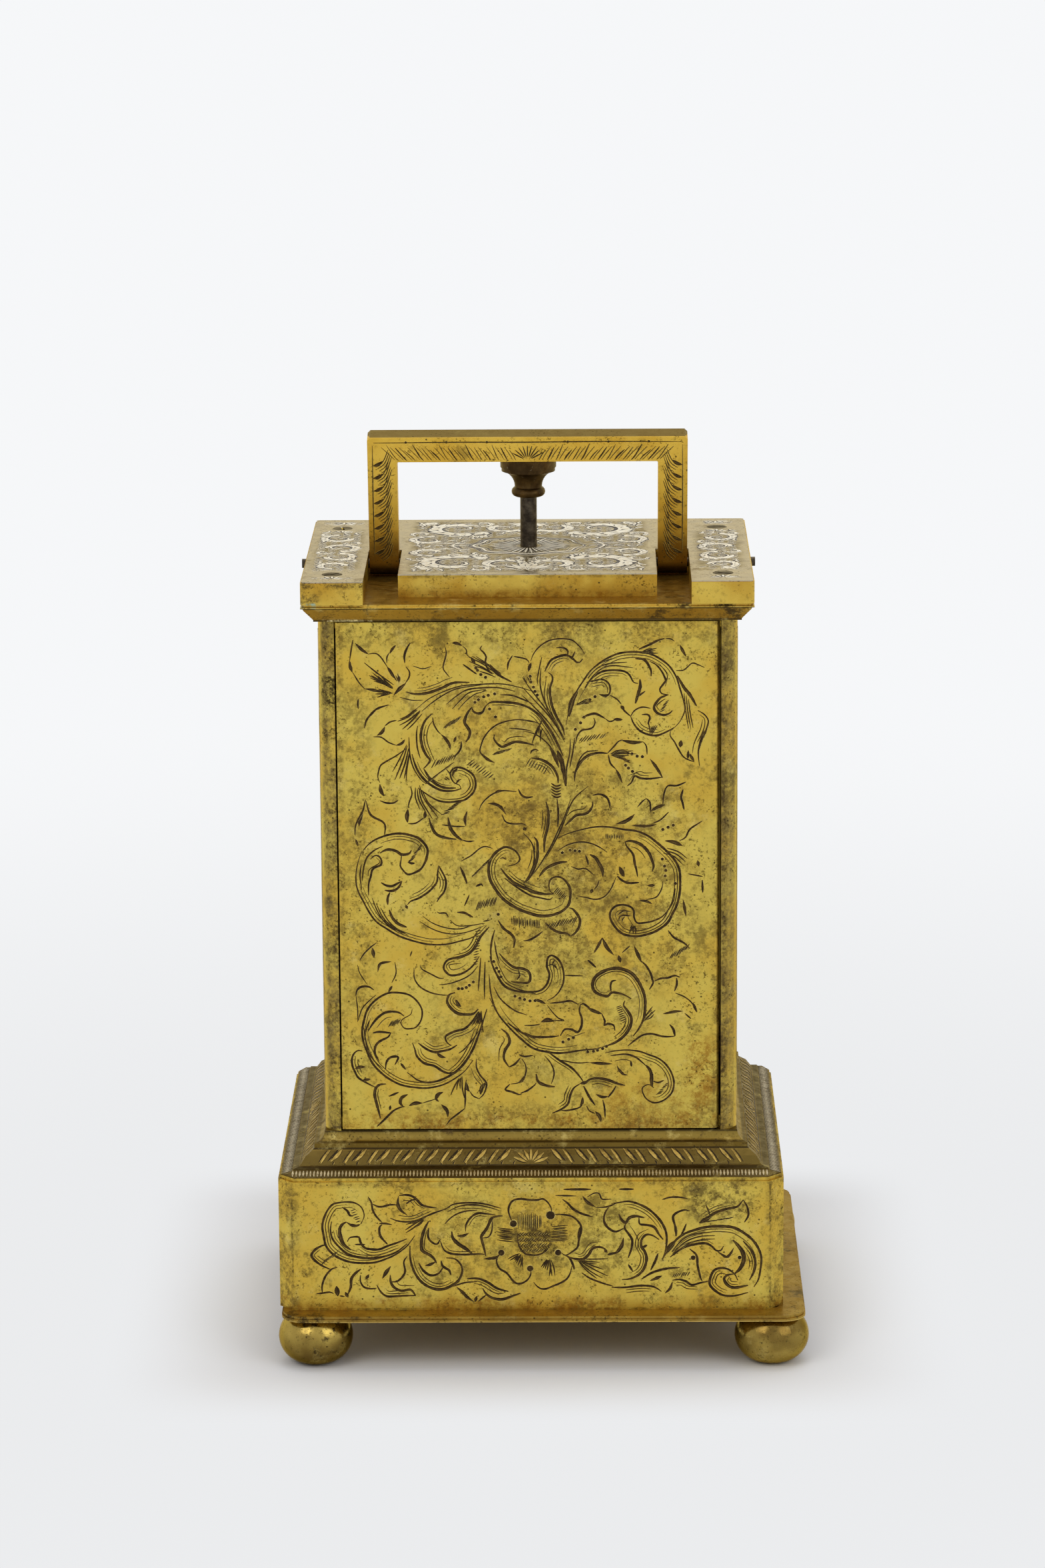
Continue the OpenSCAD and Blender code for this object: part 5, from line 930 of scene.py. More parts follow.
PLINTH_LEFT = (
    (35, -29.6, 15.7, -29, 17.25, -29.5, 18.8, -30.7, 19.6, -32.1, 19.75, -33.5, 19.6, -34.6, 19.2,
     -35.7, 17.6, -36.3, 15.5, -36.1, 13.6, -35.7, 11.7, -34.5, 10.2, -33, 9.3, -31.6, 8.8, -29.7, 8.6,
     -27.3, 8.7, -25.4, 9.3, -23.5, 10.2, -21.6, 11.7, -20.2, 13.6),
    (40, -32.8, 18.8, -31.9, 18.1, -31.5, 17.3, -30.9, 17.2),
    (50, -32.1, 16.1, -31.4, 15.6, -30.4, 15.4, -29.7, 15.7),
    (60, -32.1, 16.1, -32.8, 15.7, -33.3, 14.8, -33.2, 13.6, -32.7, 12.1, -31.4, 11),
    (40, -34.7, 16.2, -34.9, 14.5, -34.5, 12.9, -33.3, 11.4, -31.9, 10.2, -29.7, 9.6, -27.3, 9.5,
     -25.2, 9.9, -23.3, 10.7, -21.6, 12.1),
    (40, -32, 12.5, -31.6, 13.2, -30.7, 13.4, -29.95, 13.3, -29.7, 12.4, -29, 11.4, -27.8, 11.1,
     -26.4, 11.1, -25, 11.7, -23.3, 12.3, -21.6, 13), (30, -30.7, 12, -28.9, 12),
    (40, -25, 12, -26.1, 13.3, -26.4, 14.3, -26.3, 15.2, -25.9, 15.6),
    (30, -26.4, 15.8, -25.4, 15.8, -24.2, 15.6),
    (35, -25.9, 16, -26.9, 17.1, -27.5, 18.3, -27.7, 19.6, -28.3, 20.7),
    (35, -27.6, 19.4, -26.6, 18.9, -25.7, 18.9, -24.5, 19.2, -23.3, 19.2),
    (50, -23, 20.8, -23.1, 19.3, -22.6, 18.2, -21.5, 17.3),
    (40, -22.9, 20.9, -21.6, 21, -20.5, 20.7, -19.7, 20, -19, 19.2, -17.8, 18.8, -16.4, 18.6),
    (30, -21.7, 19.3, -20.8, 20, -19.7, 20.2),
    (30, -24.5, 16.8, -23.3, 16.3, -21.9, 16.1, -20.2, 16.2, -18.8, 16.8, -17.1, 17.6, -15.4, 18.2,
     -14, 18.8),
    (55, -17.8, 16.2, -18.5, 14.8, -19, 13.1, -19.1, 11.4, -18.8, 10.7, -17.6, 10, -16.9, 9.3,
     -16.5, 8.5), (45, -18.5, 8.05, -17.6, 8.3, -16.6, 8.8),
    (35, -17.8, 15, -17.9, 13.3, -17.3, 12.4, -16.4, 12, -15.8, 12.9),
    (35, -15.8, 12.6, -15.4, 11.4, -14.9, 10.7, -13.6, 10.2, -11.4, 10.1, -9, 10.2, -8.1, 10.1),
    (45, -21.1, 11.7, -21.1, 9.8, -20.8, 8.1, -20, 6.2, -18.8, 4.8, -17.1, 3.9, -15.4, 3.8, -13.8, 4.5,
     -12.6, 5.5, -12, 7.1, -12.3, 8.3, -13.3, 9.3, -14.8, 9.5),
    (40, -15.7, 9, -15.5, 8.1, -14.9, 7.6, -14.3, 7.2, -14, 6.3),
    (40, -19.6, 8.6, -19, 7.4, -18, 6.5, -17.1, 6.3, -16.1, 6.7, -15.4, 7.7),
    (35, -21.6, 9.8, -22.2, 8.8, -22, 7.1, -22.5, 6, -23.5, 5.2, -24.5, 5.2),
    (45, -24.6, 6.4, -24.5, 5, -23.8, 4, -22.6, 3.5, -21.1, 3.7, -20.2, 2.6),
    (35, -20.2, 2.6, -22.1, 2.6, -23.8, 2.5, -25.2, 2.5, -26.1, 3.1, -26.7, 4, -26.9, 4.5),
    (30, -27, 4, -28, 3.9, -29.2, 4.2, -29.8, 5.2, -29.8, 6.4), (60, -28.3, 6.5, -28.9, 5.6),
    (55, -24.5, 8, -25.3, 6.9, -26, 5.7), (45, -29.7, 7.5, -30.7, 6.7, -31.4, 5.7, -31.5, 4.3, -32, 2.9),
    (60, -32.5, 3.3, -32, 2.3), (80, -34, 4.4, -33.8, 2.5), (25, -33.5, 2.6, -32.6, 2.5),
    (30, -34.5, 3, -35.2, 3.3, -36.6, 3.1, -37.5, 3),
    (35, -36.5, 3.2, -36.5, 4.5, -35.9, 6.2, -34.8, 7.5, -33.8, 7.8),
    (40, -35.1, 7.5, -36.4, 8.1, -37.6, 9, -38.3, 10, -37.6, 11.1, -36.4, 11.8, -35.8, 11.9),
    (30, -15, 18.2, -13.6, 19.2, -11.7, 19.5, -9.5, 19.5, -7.6, 19.2, -5.2, 18.5),
    (20, -14.5, 17.9, -12.4, 18.9, -10, 19.2, -7.4, 18.7, -5.5, 18.1),
    (25, -15, 15.7, -13.8, 16.9, -12.4, 17.7, -10.7, 18.1, -9.3, 18.1),
    (35, -11.4, 14.3, -11.3, 15.5, -10.5, 16.8, -9.3, 17.6, -7.6, 17.5, -6.2, 17.3),
    (50, -12.9, 13.5, -11.9, 13.5, -10.8, 14),
    (60, -13.8, 14.3, -13.6, 13.1, -12.6, 12, -11.4, 11.2, -10.2, 10.2),
    (25, -15, 4, -13.1, 4.5, -11.4, 5, -9.5, 5.1), (40, -11.2, 5.7, -9.3, 5.7, -7.6, 5, -6, 3.9, -4, 3.3),
    (50, -13.1, 4.2, -12.1, 3.3, -11.2, 2.3, -10, 1.4), (50, -9.5, 2.5, -9.9, 1.4),
    (25, -9.3, 1.5, -7.9, 2.7), (45, -8.5, 3.9, -7.9, 2.9, -6.7, 2.1, -5, 1.9, -3.3, 2.5, -1.9, 3),
)
PLINTH_FLOWER = (
    (35, -3.1, 15.7, -3.6, 16.9, -3.9, 18.1, -3.6, 19.3, -2.9, 20, -1.7, 20.2, -0.2, 20, 1.2, 20,
     2.1, 20.2, 2.9, 19.6, 3.5, 18.6, 3.6, 17.6),
    (35, 4, 17.4, 5.7, 17.3, 7.1, 17, 8.1, 16.2, 8.7, 15.2, 8.6, 14, 8.3, 12.6, 8.1, 11.4, 7.1, 10.5,
     6, 9.9, 5.2, 10.4), (70, 8.8, 15.5, 8.5, 14, 8.2, 12.7), (40, 6, 9.9, 6.7, 9.4, 7.3, 8.1, 7.5, 7.3),
    (30, 7.1, 7.9, 6.8, 6.7, 6.2, 5.6, 5, 4.8, 3.8, 4.3, 2.6, 3.8, 1.7, 3.8, 0.95, 4.3, 0.4, 5),
    (35, -0.1, 7.3, -0.1, 6.4, -0.7, 5.4, -1.7, 4.8, -2.6, 4.8, -3.3, 5.4, -4.3, 6.7, -5.5, 7.5, -6, 8.6,
     -5.9, 9.5, -5.2, 10.4), (50, -5.2, 10.4, -6, 9.6, -6.9, 9.4, -8.3, 9.3),
    (50, -7.9, 9.8, -8.2, 11.2, -8.6, 12.9, -8.6, 13.5, -7.6, 15, -6.8, 16.7, -5.5, 17.1, -4.9, 17.1),
    (25, -8.6, 13.1, -7.4, 13.3, -6.8, 14.5, -6.7, 16.4),
    (30, -2.3, 13.8, -2.3, 12.6, -1.9, 11.2, -1, 10.2, -0.2, 10, 1.2, 10, 2.6, 10.7, 3.2, 11.7),
)
PLINTH_RIGHT = (
    (40, 5.5, 20.1, 6.4, 19.4, 7.4, 18.3, 8.8, 17.5, 10.7, 16.9), (50, 9, 20.7, 9.8, 19.6, 11.2, 18.7),
    (25, 9.8, 20.5, 11, 21.2, 11.9, 21.1, 12.4, 20.1, 14, 20.1), (25, 11.2, 18.6, 13.1, 18.7, 15, 19.4),
    (40, 5.7, 21.9, 10.5, 21.9), (25, 4.3, 20.8, 7.9, 20.7),
    (40, 13.5, 18.6, 12.9, 17.6, 12.7, 16.2, 13.3, 15, 14.5, 14.2, 15.4, 14.4, 16.1, 14.8),
    (45, 6, 9.8, 7.4, 9.3, 9, 9.2, 10, 10, 10.7, 11.1, 11.9, 11.4, 12.9, 11, 13.2, 10.5),
    (60, 12.7, 10.9, 13.3, 10.4), (40, 13.3, 10, 15, 10.4),
    (30, 8.8, 6.7, 10.2, 5.7, 12.4, 4.8, 14.3, 4.2),
    (40, 14, 19.3, 15.4, 19.5, 16.9, 19.7, 18.5, 19.3, 20.4, 18.3, 21.9, 16.9, 22.9, 15.5, 23.5, 14,
     23.6, 12.4, 23.4, 10.7, 22.8, 9),
    (50, 15.3, 17.4, 15.8, 16.3, 16.5, 15.8, 17.1, 16.7, 18.3, 17, 19.7, 16.7),
    (40, 16.5, 15.8, 16.3, 14.8, 17.1, 13.6, 17.6, 12.6, 17.5, 11.2, 16.9, 9.4),
    (40, 18.8, 16.7, 18.9, 15.6, 20, 15.4, 21.4, 15, 22.3, 13.6, 23, 12.7),
    (60, 16.1, 13.1, 15.8, 11.7, 15, 10.5, 14, 10),
    (45, 22.3, 12.7, 21.1, 13.5, 20, 13.6, 19.2, 12.6, 19.2, 11.4, 19.7, 10.7, 20.1, 9.3, 19.7, 7.6,
     18.8, 6.4, 17.3, 5.6, 15.8, 5.4), (40, 19.4, 11.3, 20.2, 11.7), (35, 16.9, 8.2, 17.7, 6.9),
    (40, 22.1, 10.2, 21.6, 8.8, 20.8, 7.1),
    (35, 14, 4, 16.4, 4, 18.8, 4.3, 20.9, 4.2, 21.9, 3.8, 22.7, 3.2), (45, 23.3, 2.9, 24.2, 3.8, 24.6, 5),
    (35, 24.6, 5.3, 25.9, 5.4, 27.1, 5, 28, 4.4, 29.5, 4.8, 31, 5.1),
    (40, 19.2, 5.5, 21.1, 6.7, 23.5, 7.4, 25.9, 7.6), (50, 20.7, 5.2, 22.8, 6.1),
    (45, 22.9, 9.2, 24, 11, 25.2, 12.6, 26.6, 13.7, 28.3, 14.4, 30.7, 15, 33, 15.1, 35.4, 14.8,
     37.8, 13.3, 39.2, 11.7, 40, 9.8, 40, 7.9, 39.6, 5.5, 38.8, 4),
    (90, 23.2, 10, 24.2, 11.4, 25.2, 12.6),
    (40, 24.2, 9.5, 25.4, 10.5, 26.9, 11.4, 28.8, 11.9, 30.4, 12, 31.4, 11.5, 32.2, 10.7, 33, 10.7,
     33.5, 11.5), (45, 32.3, 10.6, 33, 10.1, 34, 9.5, 34.7, 10.1, 35.3, 11.2),
    (70, 35.1, 12.6, 36.1, 11.5, 36.9, 10.2, 37, 8.8, 36.4, 7.4, 35.4, 6.4),
    (45, 36.9, 12.4, 38.3, 10.7, 39, 8.8, 38.8, 6.9, 38, 5.2),
    (40, 36, 5.2, 35.4, 6.4, 34.2, 7.3, 33, 7.5, 31.9, 7.1, 31.3, 6, 31.1, 4.5, 32.1, 3.3, 33.5, 2.5,
     35.4, 2.4, 37.8, 3), (50, 35.4, 6.4, 34.2, 6.2, 33.6, 5.5, 34.2, 4.4, 35.4, 3.9, 37.8, 4.3),
    (40, 27.6, 11, 28.8, 9.8, 29, 7.9, 29.5, 5.7, 29.8, 5.1),
    (45, 29.2, 15.7, 30.7, 16.7, 32.3, 17.7, 34.2, 18.3, 35.9, 18.7, 36.9, 19.9),
    (70, 29.2, 15.7, 30.4, 16.4, 31.6, 17), (35, 36.9, 19.9, 37.6, 18.6, 37.8, 17.1, 37.1, 15.8),
    (40, 25.2, 13.3, 25.1, 15, 24.7, 16.7, 25.2, 17.5, 26.6, 18.1, 27.6, 17.9),
    (50, 25.3, 13.3, 25.1, 15.5), (30, 27, 15.6, 26.6, 14.5, 26, 13.3),
    (30, 22.8, 20, 24.2, 20.4, 25.9, 20.4, 27.3, 20.1), (30, 30.4, 19, 30.9, 17.9, 31.1, 17.1),
    (35, 15.3, 21.9, 17.9, 21.9), (20, 24.5, 10.5, 26.5, 12.8, 29, 13.8, 31.5, 14),
    (20, 24.6, 10.1, 26.8, 12.2, 29.2, 13.2, 32, 13.4), (20, 24.8, 9.8, 27, 11.7, 29.4, 12.6, 32, 12.8),
)
PLINTH_DOTS = (
    (-3.05, 15.7, 0.45), (3.4, 17.2, 0.55), (4.7, 10.4, 0.4), (-5.2, 10.4, 0.4), (-0.2, 7.5, 0.4),
    (28.2, 9.4, 0.3), (36.3, 9.4, 0.25),
)
PLINTH_FANS = (
    (-17.8, 17.2, 197, 222, 6, 0.8, 5.4), (7.8, 9.2, -45, 0, 7, 0.5, 6.4),
    (-1.5, 10.5, 205, 270, 8, 0.6, 3.2), (3.2, 9.8, 235, 285, 7, 0.6, 4.4),
)
PLINTH_RAKES = (
    (-36.2, 8.8, -34.2, 10.2, 50, 1.8, 8), (-2.2, 16, 1.8, 16, 90, 3.2, 13),
    (4.8, 12.6, 5, 15.2, 5, 3.2, 10), (-4.4, 12.6, -4.4, 14.8, 172, 3.2, 9),
    (30.2, 15.9, 34.6, 16.6, 15, 2, 5), (-1.8, 10.8, 2.8, 10.8, 45, 1, 12),
    (-2, 11.8, 3, 11.8, 45, 1, 12), (-2, 12.8, 3, 12.8, 45, 1, 12), (-2, 13.8, 3, 13.8, 45, 1, 12),
    (-2, 11.4, 3, 11.4, 135, 1, 12), (-2, 12.6, 3, 12.6, 135, 1, 12), (-2, 13.6, 3, 13.6, 135, 1, 12),
    (-31, 18.2, -30, 16.2, 20, 1, 6), (24.8, 6.2, 27.4, 6.4, 60, 1.2, 8),
)


def cut_metal(name, tint, worn, metallic, seed):
    """The metal of one strip of a cut; dark strips hardly reflect."""
    f = Finish(name, metallic, 0.5, seed)
    if metallic < DULL_METAL:
        f.shader.inputs["Specular IOR Level"].default_value = 0.12
    colour = f.mix(f.ramp(f.noise(1.1, 3.0), 0.42, 0.7), tint, worn)
    f.bump(f.noise(0.3, 2.0), 0.2, 0.03)
    return f.finish(colour, f.ramp(f.noise(0.8, 2.0), 0.3, 0.8, 0.35, 0.65))


# The metals of a panel's cuts: their bright edges, which carry a painted highlight, their dark sides and
# their floors.
CUTS = [
    cut_metal("cut_edge", srgb(206, 184, 104), srgb(150, 126, 58), 0.75, 81.0),
    cut_metal("cut_dark", srgb(46, 33, 13), srgb(78, 58, 24), 0.0, 83.0),
    cut_metal("cut_floor", srgb(66, 50, 24), srgb(104, 84, 42), 0.2, 85.0),
]
SILVER_CUTS = [
    cut_metal("leaf_silver", srgb(252, 243, 218), srgb(236, 222, 188), 0.3, 87.0),
    cut_metal("leaf_dark", srgb(48, 40, 27), srgb(78, 66, 44), 0.0, 89.0),
    cut_metal("leaf_ground", srgb(150, 138, 112), srgb(120, 106, 80), 0.4, 91.0),
]
LEAF_CUTS = [
    cut_metal("relief_gold", srgb(182, 154, 80), srgb(132, 108, 50), 0.7, 93.0),
    cut_metal("relief_dark", srgb(42, 32, 14), srgb(66, 52, 24), 0.0, 95.0),
    cut_metal("relief_ground", srgb(120, 100, 50), srgb(92, 74, 36), 0.4, 97.0),
]
MILL_CUTS = [
    cut_metal("mill_grey", srgb(206, 190, 150), srgb(150, 134, 96), 0.5, 92.0),
    cut_metal("mill_dark", srgb(44, 36, 20), srgb(64, 52, 28), 0.0, 94.0),
    cut_metal("mill_ground", srgb(120, 108, 80), srgb(92, 80, 54), 0.3, 96.0),
]
INK = [cut_metal("dial_ink", srgb(30, 28, 30), srgb(52, 48, 46), 0.0, 99.0)] * 3


def smooth_path(flat, step):
    """Evenly spaced points on a Catmull-Rom curve through the stroke's points."""
    knots = [Vector((flat[i], flat[i + 1])) for i in range(0, len(flat), 2)]
    padded = [2 * knots[0] - knots[1], *knots, 2 * knots[-1] - knots[-2]]
    points = [knots[0]]
    for a, b, c, d in zip(padded, padded[1:], padded[2:], padded[3:]):
        parts = max(1, round((c - b).length / step))
        for k in range(1, parts + 1):
            t = k / parts
            points.append(0.5 * (2 * b + (c - a) * t + (2 * a - 5 * b + 4 * c - d) * t * t
                                 + (3 * b - a - 3 * c + d) * t ** 3))
    return points


class Engraving:
    """The cuts of one panel in one mesh: dark grooves whose lower right edge has a painted highlight."""

    # The distance between the points of a cut, the width from which it has a floor of its own, and
    # the side toward which the bright edge strips are widened, a painted highlight.
    FINE = 0.35
    WIDE = 42
    LIGHT_SIDE = Vector((0.6, -0.8))

    def __init__(self, seed, place, metals=CUTS):
        self.place = place
        self.metals = metals
        self.dice = random.Random(seed)
        self.verts = []
        self.faces = []
        self.picks = []

    def cut(self, hundredths, flat, shade=1.0, relief=False, step=FINE, side=1):
        """One stroke: a groove, or with relief a bright raised leaf between dark edges.

        flat is across, up, across, up ...; side -1 draws its mirror image."""
        points = smooth_path([c if i % 2 else side * c for i, c in enumerate(flat)], step)
        count = len(points)
        wide = hundredths >= self.WIDE
        # Places across the cut, their heights, and which of the panel's metals each strip has.
        marks = (-1, -0.55, 0.1, 0.6, 1) if wide else (-1, 0, 1)
        lifts = (0.035, 0.02, 0.012, 0.02, 0.035) if wide else (0.03, 0.015, 0.03)
        inks = (0, 1, 2, 1, 1, 0) if wide else (0, 1, 1, 1 if hundredths < 24 else 0)
        if relief:
            inks = (1, 0, 0, 0, 1, 1) if wide else (1, 0, 0, 1)
            lifts = tuple(0.09 - lift for lift in lifts)
        base = len(self.verts)
        half = hundredths / 200 * shade
        for i, p in enumerate(points):
            ahead = points[min(i + 1, count - 1)] - points[max(i - 1, 0)]
            beside = Vector((-ahead.y, ahead.x)).normalized()
            run = i / (count - 1)
            swell = math.sin(math.pi * min(max(run, 0.02), 0.98)) ** (0.8 if wide and count < 14 else 0.4)
            reach = max(half * swell * self.dice.uniform(0.85, 1.12), 0.02)
            # The bright edge strip is widened on the side toward LIGHT_SIDE: a painted highlight.
            lit = beside.dot(self.LIGHT_SIDE)
            under = reach + 0.02 + 0.09 * max(-lit, 0) * swell
            over = reach + 0.02 + 0.09 * max(lit, 0) * swell
            row = [(-under, -0.01)] + [(m * reach, z) for m, z in zip(marks, lifts)] + [(over, -0.01)]
            for offset, lift in row:
                q = p + beside * offset
                self.verts.append(self.place(q.x, q.y, lift))
        width = len(marks) + 2
        for i in range(count - 1):
            for k in range(width - 1):
                a = base + i * width + k
                self.faces.append((a, a + 1, a + 1 + width, a + width))
                self.picks.append(inks[k])

    def strokes(self, *groups, shade=1.0, step=FINE):
        for group in groups:
            for stroke in group:
                self.cut(stroke[0], stroke[1:], shade, step=step)

    def ring(self, hundredths, v, reach, wave=0.0, squash=1.0, relief=False):
        """A closed line round the panel's middle at the height v, with eight waves."""
        line = []
        for k in range(49):
            turn = math.tau * k / 48
            out = reach + wave * math.cos(8 * turn)
            line += [out * math.cos(turn), v + squash * out * math.sin(turn)]
        self.cut(hundredths, line, relief=relief)

    def dot(self, u, v, radius):
        """A round punched hole."""
        base = len(self.verts)
        around = 10
        for reach, lift in ((radius * 1.25, -0.01), (radius, 0.03), (radius * 0.4, 0.012)):
            for k in range(around):
                turn = math.tau * k / around
                self.verts.append(self.place(u + reach * math.cos(turn), v + reach * math.sin(turn), lift))
        for ring, ink in ((0, 0), (1, 1)):
            for k in range(around):
                n = (k + 1) % around
                a = base + ring * around
                self.faces.append((a + k, a + n, a + around + n, a + around + k))
                self.picks.append(ink)
        self.faces.append(tuple(range(base + 2 * around, base + 3 * around)))
        self.picks.append(1)

    def dots(self, places):
        """Holes from across, up and, where it isn't 0.2, a radius."""
        for u, v, *radius in places:
            self.dot(u, v, 1.4 * (radius[0] if radius else 0.2))

    def echoes(self, *groups):
        """Fine lines that follow the inner side of the longer strokes."""
        lines, gap = 2, 0.5
        for group in groups:
            for stroke in group:
                points = smooth_path(stroke[1:], 0.7)
                if len(points) < 11 or stroke[0] < 30:
                    continue
                ahead = [b - a for a, b in zip(points, points[1:])]
                bend = sum(a.x * b.y - a.y * b.x for a, b in zip(ahead, ahead[1:]))
                for k in range(lines):
                    first = round(len(points) * self.dice.uniform(0.05, 0.25))
                    last = round(len(points) * self.dice.uniform(0.55, 0.9))
                    flat = []
                    away = math.copysign(gap * (k + 1), bend)
                    for i in range(first, last, 2):
                        inward = Vector((-ahead[i].y, ahead[i].x)).normalized() * away
                        flat += [points[i].x + inward.x, points[i].y + inward.y]
                    if len(flat) > 6:
                        self.cut(12, flat)

    def fans(self, groups):
        """Lines that spread from a point: across, up, first and last angle, lines, near, far."""
        for u, v, first, last, lines, near, far in groups:
            for k in range(lines):
                turn = first + (last - first) * k / max(lines - 1, 1) + self.dice.uniform(-1, 1)
                turn = math.radians(turn)
                end = far * self.dice.uniform(0.55, 1.0)
                start = near * self.dice.uniform(0.8, 1.6)
                bow = self.dice.uniform(-0.04, 0.04) * far
                c, s = math.cos(turn), math.sin(turn)
                middle = (start + end) / 2
                self.cut(20, (u + start * c, v + start * s,
                              u + middle * c - bow * s, v + middle * s + bow * c,
                              u + end * c, v + end * s))

    def rakes(self, groups):
        """Rows of short lines: from across, up to across, up, their angle, length and number."""
        for u0, v0, u1, v1, angle, length, lines in groups:
            turn = math.radians(angle)
            for k in range(lines):
                t = k / max(lines - 1, 1)
                u = u0 + (u1 - u0) * t + self.dice.uniform(-0.06, 0.06)
                v = v0 + (v1 - v0) * t + self.dice.uniform(-0.06, 0.06)
                half = length / 2 * self.dice.uniform(0.6, 1.05)
                self.cut(17, (u - half * math.cos(turn), v - half * math.sin(turn),
                              u + half * math.cos(turn), v + half * math.sin(turn)))

    def build(self, name, body="case"):
        made = mesh_object(name, self.verts, self.faces, self.metals, self.picks, smooth=False)
        piece(made, body)


DOOR_STROKES = (DOOR_LILY, DOOR_SCROLL, DOOR_LEFT, DOOR_CENTRE, DOOR_TRUNK, DOOR_RIGHT, DOOR_MIDDLE,
                DOOR_LOWER, DOOR_CORNER)
PLINTH_STROKES = (PLINTH_LEFT, PLINTH_FLOWER, PLINTH_RIGHT)


def door_panel():
    panel = Engraving(1, lambda u, v, lift: (CASE_X + u, DOOR_FACE - lift, BODY_BOTTOM + v))
    panel.strokes(*DOOR_STROKES, shade=1.1)
    panel.echoes(*DOOR_STROKES)
    panel.dots(DOOR_DOTS)
    panel.fans(DOOR_FANS)
    panel.rakes(DOOR_RAKES)
    panel.build("door_engraving", "back_door")


def plinth_panel():
    panel = Engraving(2, lambda u, v, lift: (CASE_X + u, PLINTH_FACE - lift, PLINTH_BOTTOM + v))
    panel.strokes(*PLINTH_STROKES, shade=1.12)
    panel.echoes(PLINTH_LEFT, PLINTH_RIGHT)
    panel.dots(PLINTH_DOTS)
    panel.fans(PLINTH_FANS)
    panel.rakes(PLINTH_RAKES)
    panel.build("plinth_engraving")


def on_handle(u, v, lift):
    """The handle's face toward the door: v runs up from the pivot, along the leaning leg."""
    depth = -HANDLE_HALF - lift
    return (CASE_X + u, PIVOT_Y + depth * math.cos(HANDLE_LEAN) - v * math.sin(HANDLE_LEAN),
            PIVOT_Z + depth * math.sin(HANDLE_LEAN) + v * math.cos(HANDLE_LEAN))


def handle_feathers():
    """Curved barbs that spring from a line near each leg's outer edge, and a fanned crossbar."""
    panel = Engraving(3, on_handle)
    for side in (-1, 1):
        panel.cut(16, (26.8, 2.2, 26.85, 12, 26.8, 22.8), side=side)
        for k in range(8):
            v = 2.6 + 2.35 * k
            panel.cut(62, (26.75, v, 25.9, v + 0.25, 24.9, v + 0.95), side=side)
            for n in range(4):
                low = v - 0.45 - 0.42 * n
                panel.cut(14, (26.3 - 0.3 * n, low + 0.3, 25.0 - 0.25 * n, low + 1.3,
                               24.1 - 0.2 * n, low + 3.4), side=side)
        for k in range(15):
            u = 2.0 + 1.45 * k
            lean = 1.1 + 0.07 * k
            panel.cut(23 if k % 2 else 14, (u, 20.0, u + 0.35 * lean, 20.8,
                                            u + lean, 21.9 + 0.5 * (k % 3)), side=side)
            panel.cut(10, (u + 0.6, 20.1, u + 0.6 + 0.4 * lean, 21.0, u + 0.9 + lean, 22.5), side=side)
        for k in range(3):
            panel.dot(side * (7 + 7 * k), 23.4, 0.22)
    for k in range(9):
        turn = math.radians(30 + 15 * k)
        c, s = math.cos(turn), math.sin(turn)
        panel.cut(20, (0.8 * c, 20 + 0.6 * s, 3 * c, 20 + 2.7 * s))
    panel.cut(18, (-26.6, 23.3, -13, 23.4, 0, 23.35, 13, 23.4, 26.6, 23.3))
    panel.build("handle_engraving", "handle")


def scroll(panel, u, v, reach, start, hand):
    """A spiral stem that winds inward, with lobed leaves springing from its outer side."""
    leaves, widest = 8, 190

    def spiral(t):
        turn = math.radians(start) + hand * math.radians(430) * t
        out = reach * (1 - 0.84 * t)
        return Vector((u + out * math.cos(turn), v + out * math.sin(turn)))

    stem, rib = [], []
    for k in range(17):
        here = spiral(k / 16)
        stem += [here.x, here.y]
        inner = here + (Vector((u, v)) - here).normalized() * 0.16 * reach
        if 2 < k < 13:
            rib += [inner.x, inner.y]
    for n in range(leaves):
        t = 0.02 + 0.6 * n / leaves
        here, ahead = spiral(t), (spiral(t + 0.02) - spiral(t)).normalized()
        outward = (here - Vector((u, v))).normalized()
        size = reach * (0.66 - 0.25 * t) * panel.dice.uniform(0.85, 1.15)
        for lobe, (along, over) in enumerate(((1.0, 0.42), (0.45, 0.72), (0.05, 0.5))):
            tip = here + (ahead * along + outward * over) * size
            middle = here + (ahead * along * 0.4 + outward * over * 0.75) * size
            width = (36, 29, 19)[lobe] * reach
            leaf = (here.x, here.y, middle.x, middle.y, tip.x, tip.y)
            panel.cut(1.25 * min(width, widest) + 34, leaf, step=0.5)
            panel.cut(min(width, widest), leaf, relief=True, step=0.5)
        vein = here + (ahead * 0.55 + outward * 0.42) * size
        panel.cut(26, (here.x, here.y, (here.x + vein.x) / 2, (here.y + vein.y) / 2, vein.x, vein.y))
    thick = min(17 * reach, 95)
    panel.cut(thick + 55, stem)
    panel.cut(thick, stem, relief=True)
    panel.cut(40, rib)
    panel.dot(u, v, 0.09 * reach)


def palmette(panel, u, v, reach, first, last, petals=5):
    """A fan of leaves."""
    for k in range(petals):
        turn = math.radians(first + (last - first) * k / (petals - 1))
        c, s = math.cos(turn), math.sin(turn)
        petal = (u + 0.2 * reach * c, v + 0.2 * reach * s,
                 u + 0.6 * reach * c, v + 0.6 * reach * s, u + reach * c, v + reach * s)
        panel.cut(32 * reach + 30, petal, step=0.5)
        panel.cut(26 * reach, petal, relief=True, step=0.5)


def on_slab(u, v):
    """True over the hatched ground: clear of the screws, the sunburst and the plain borders."""
    if math.hypot(u, v - STEM_Y) < SUNBURST:
        return False
    if abs(u) < SIDE_GROUND[0]:
        return abs(u) < MIDDLE_GROUND and -20.2 < v < 26.6
    from_screw = abs(abs(v - SCREW_MIDDLE) - SCREW_REACH)
    return abs(u) < SIDE_GROUND[1] and abs(v) < 27.0 and from_screw > SCREW_ROOM


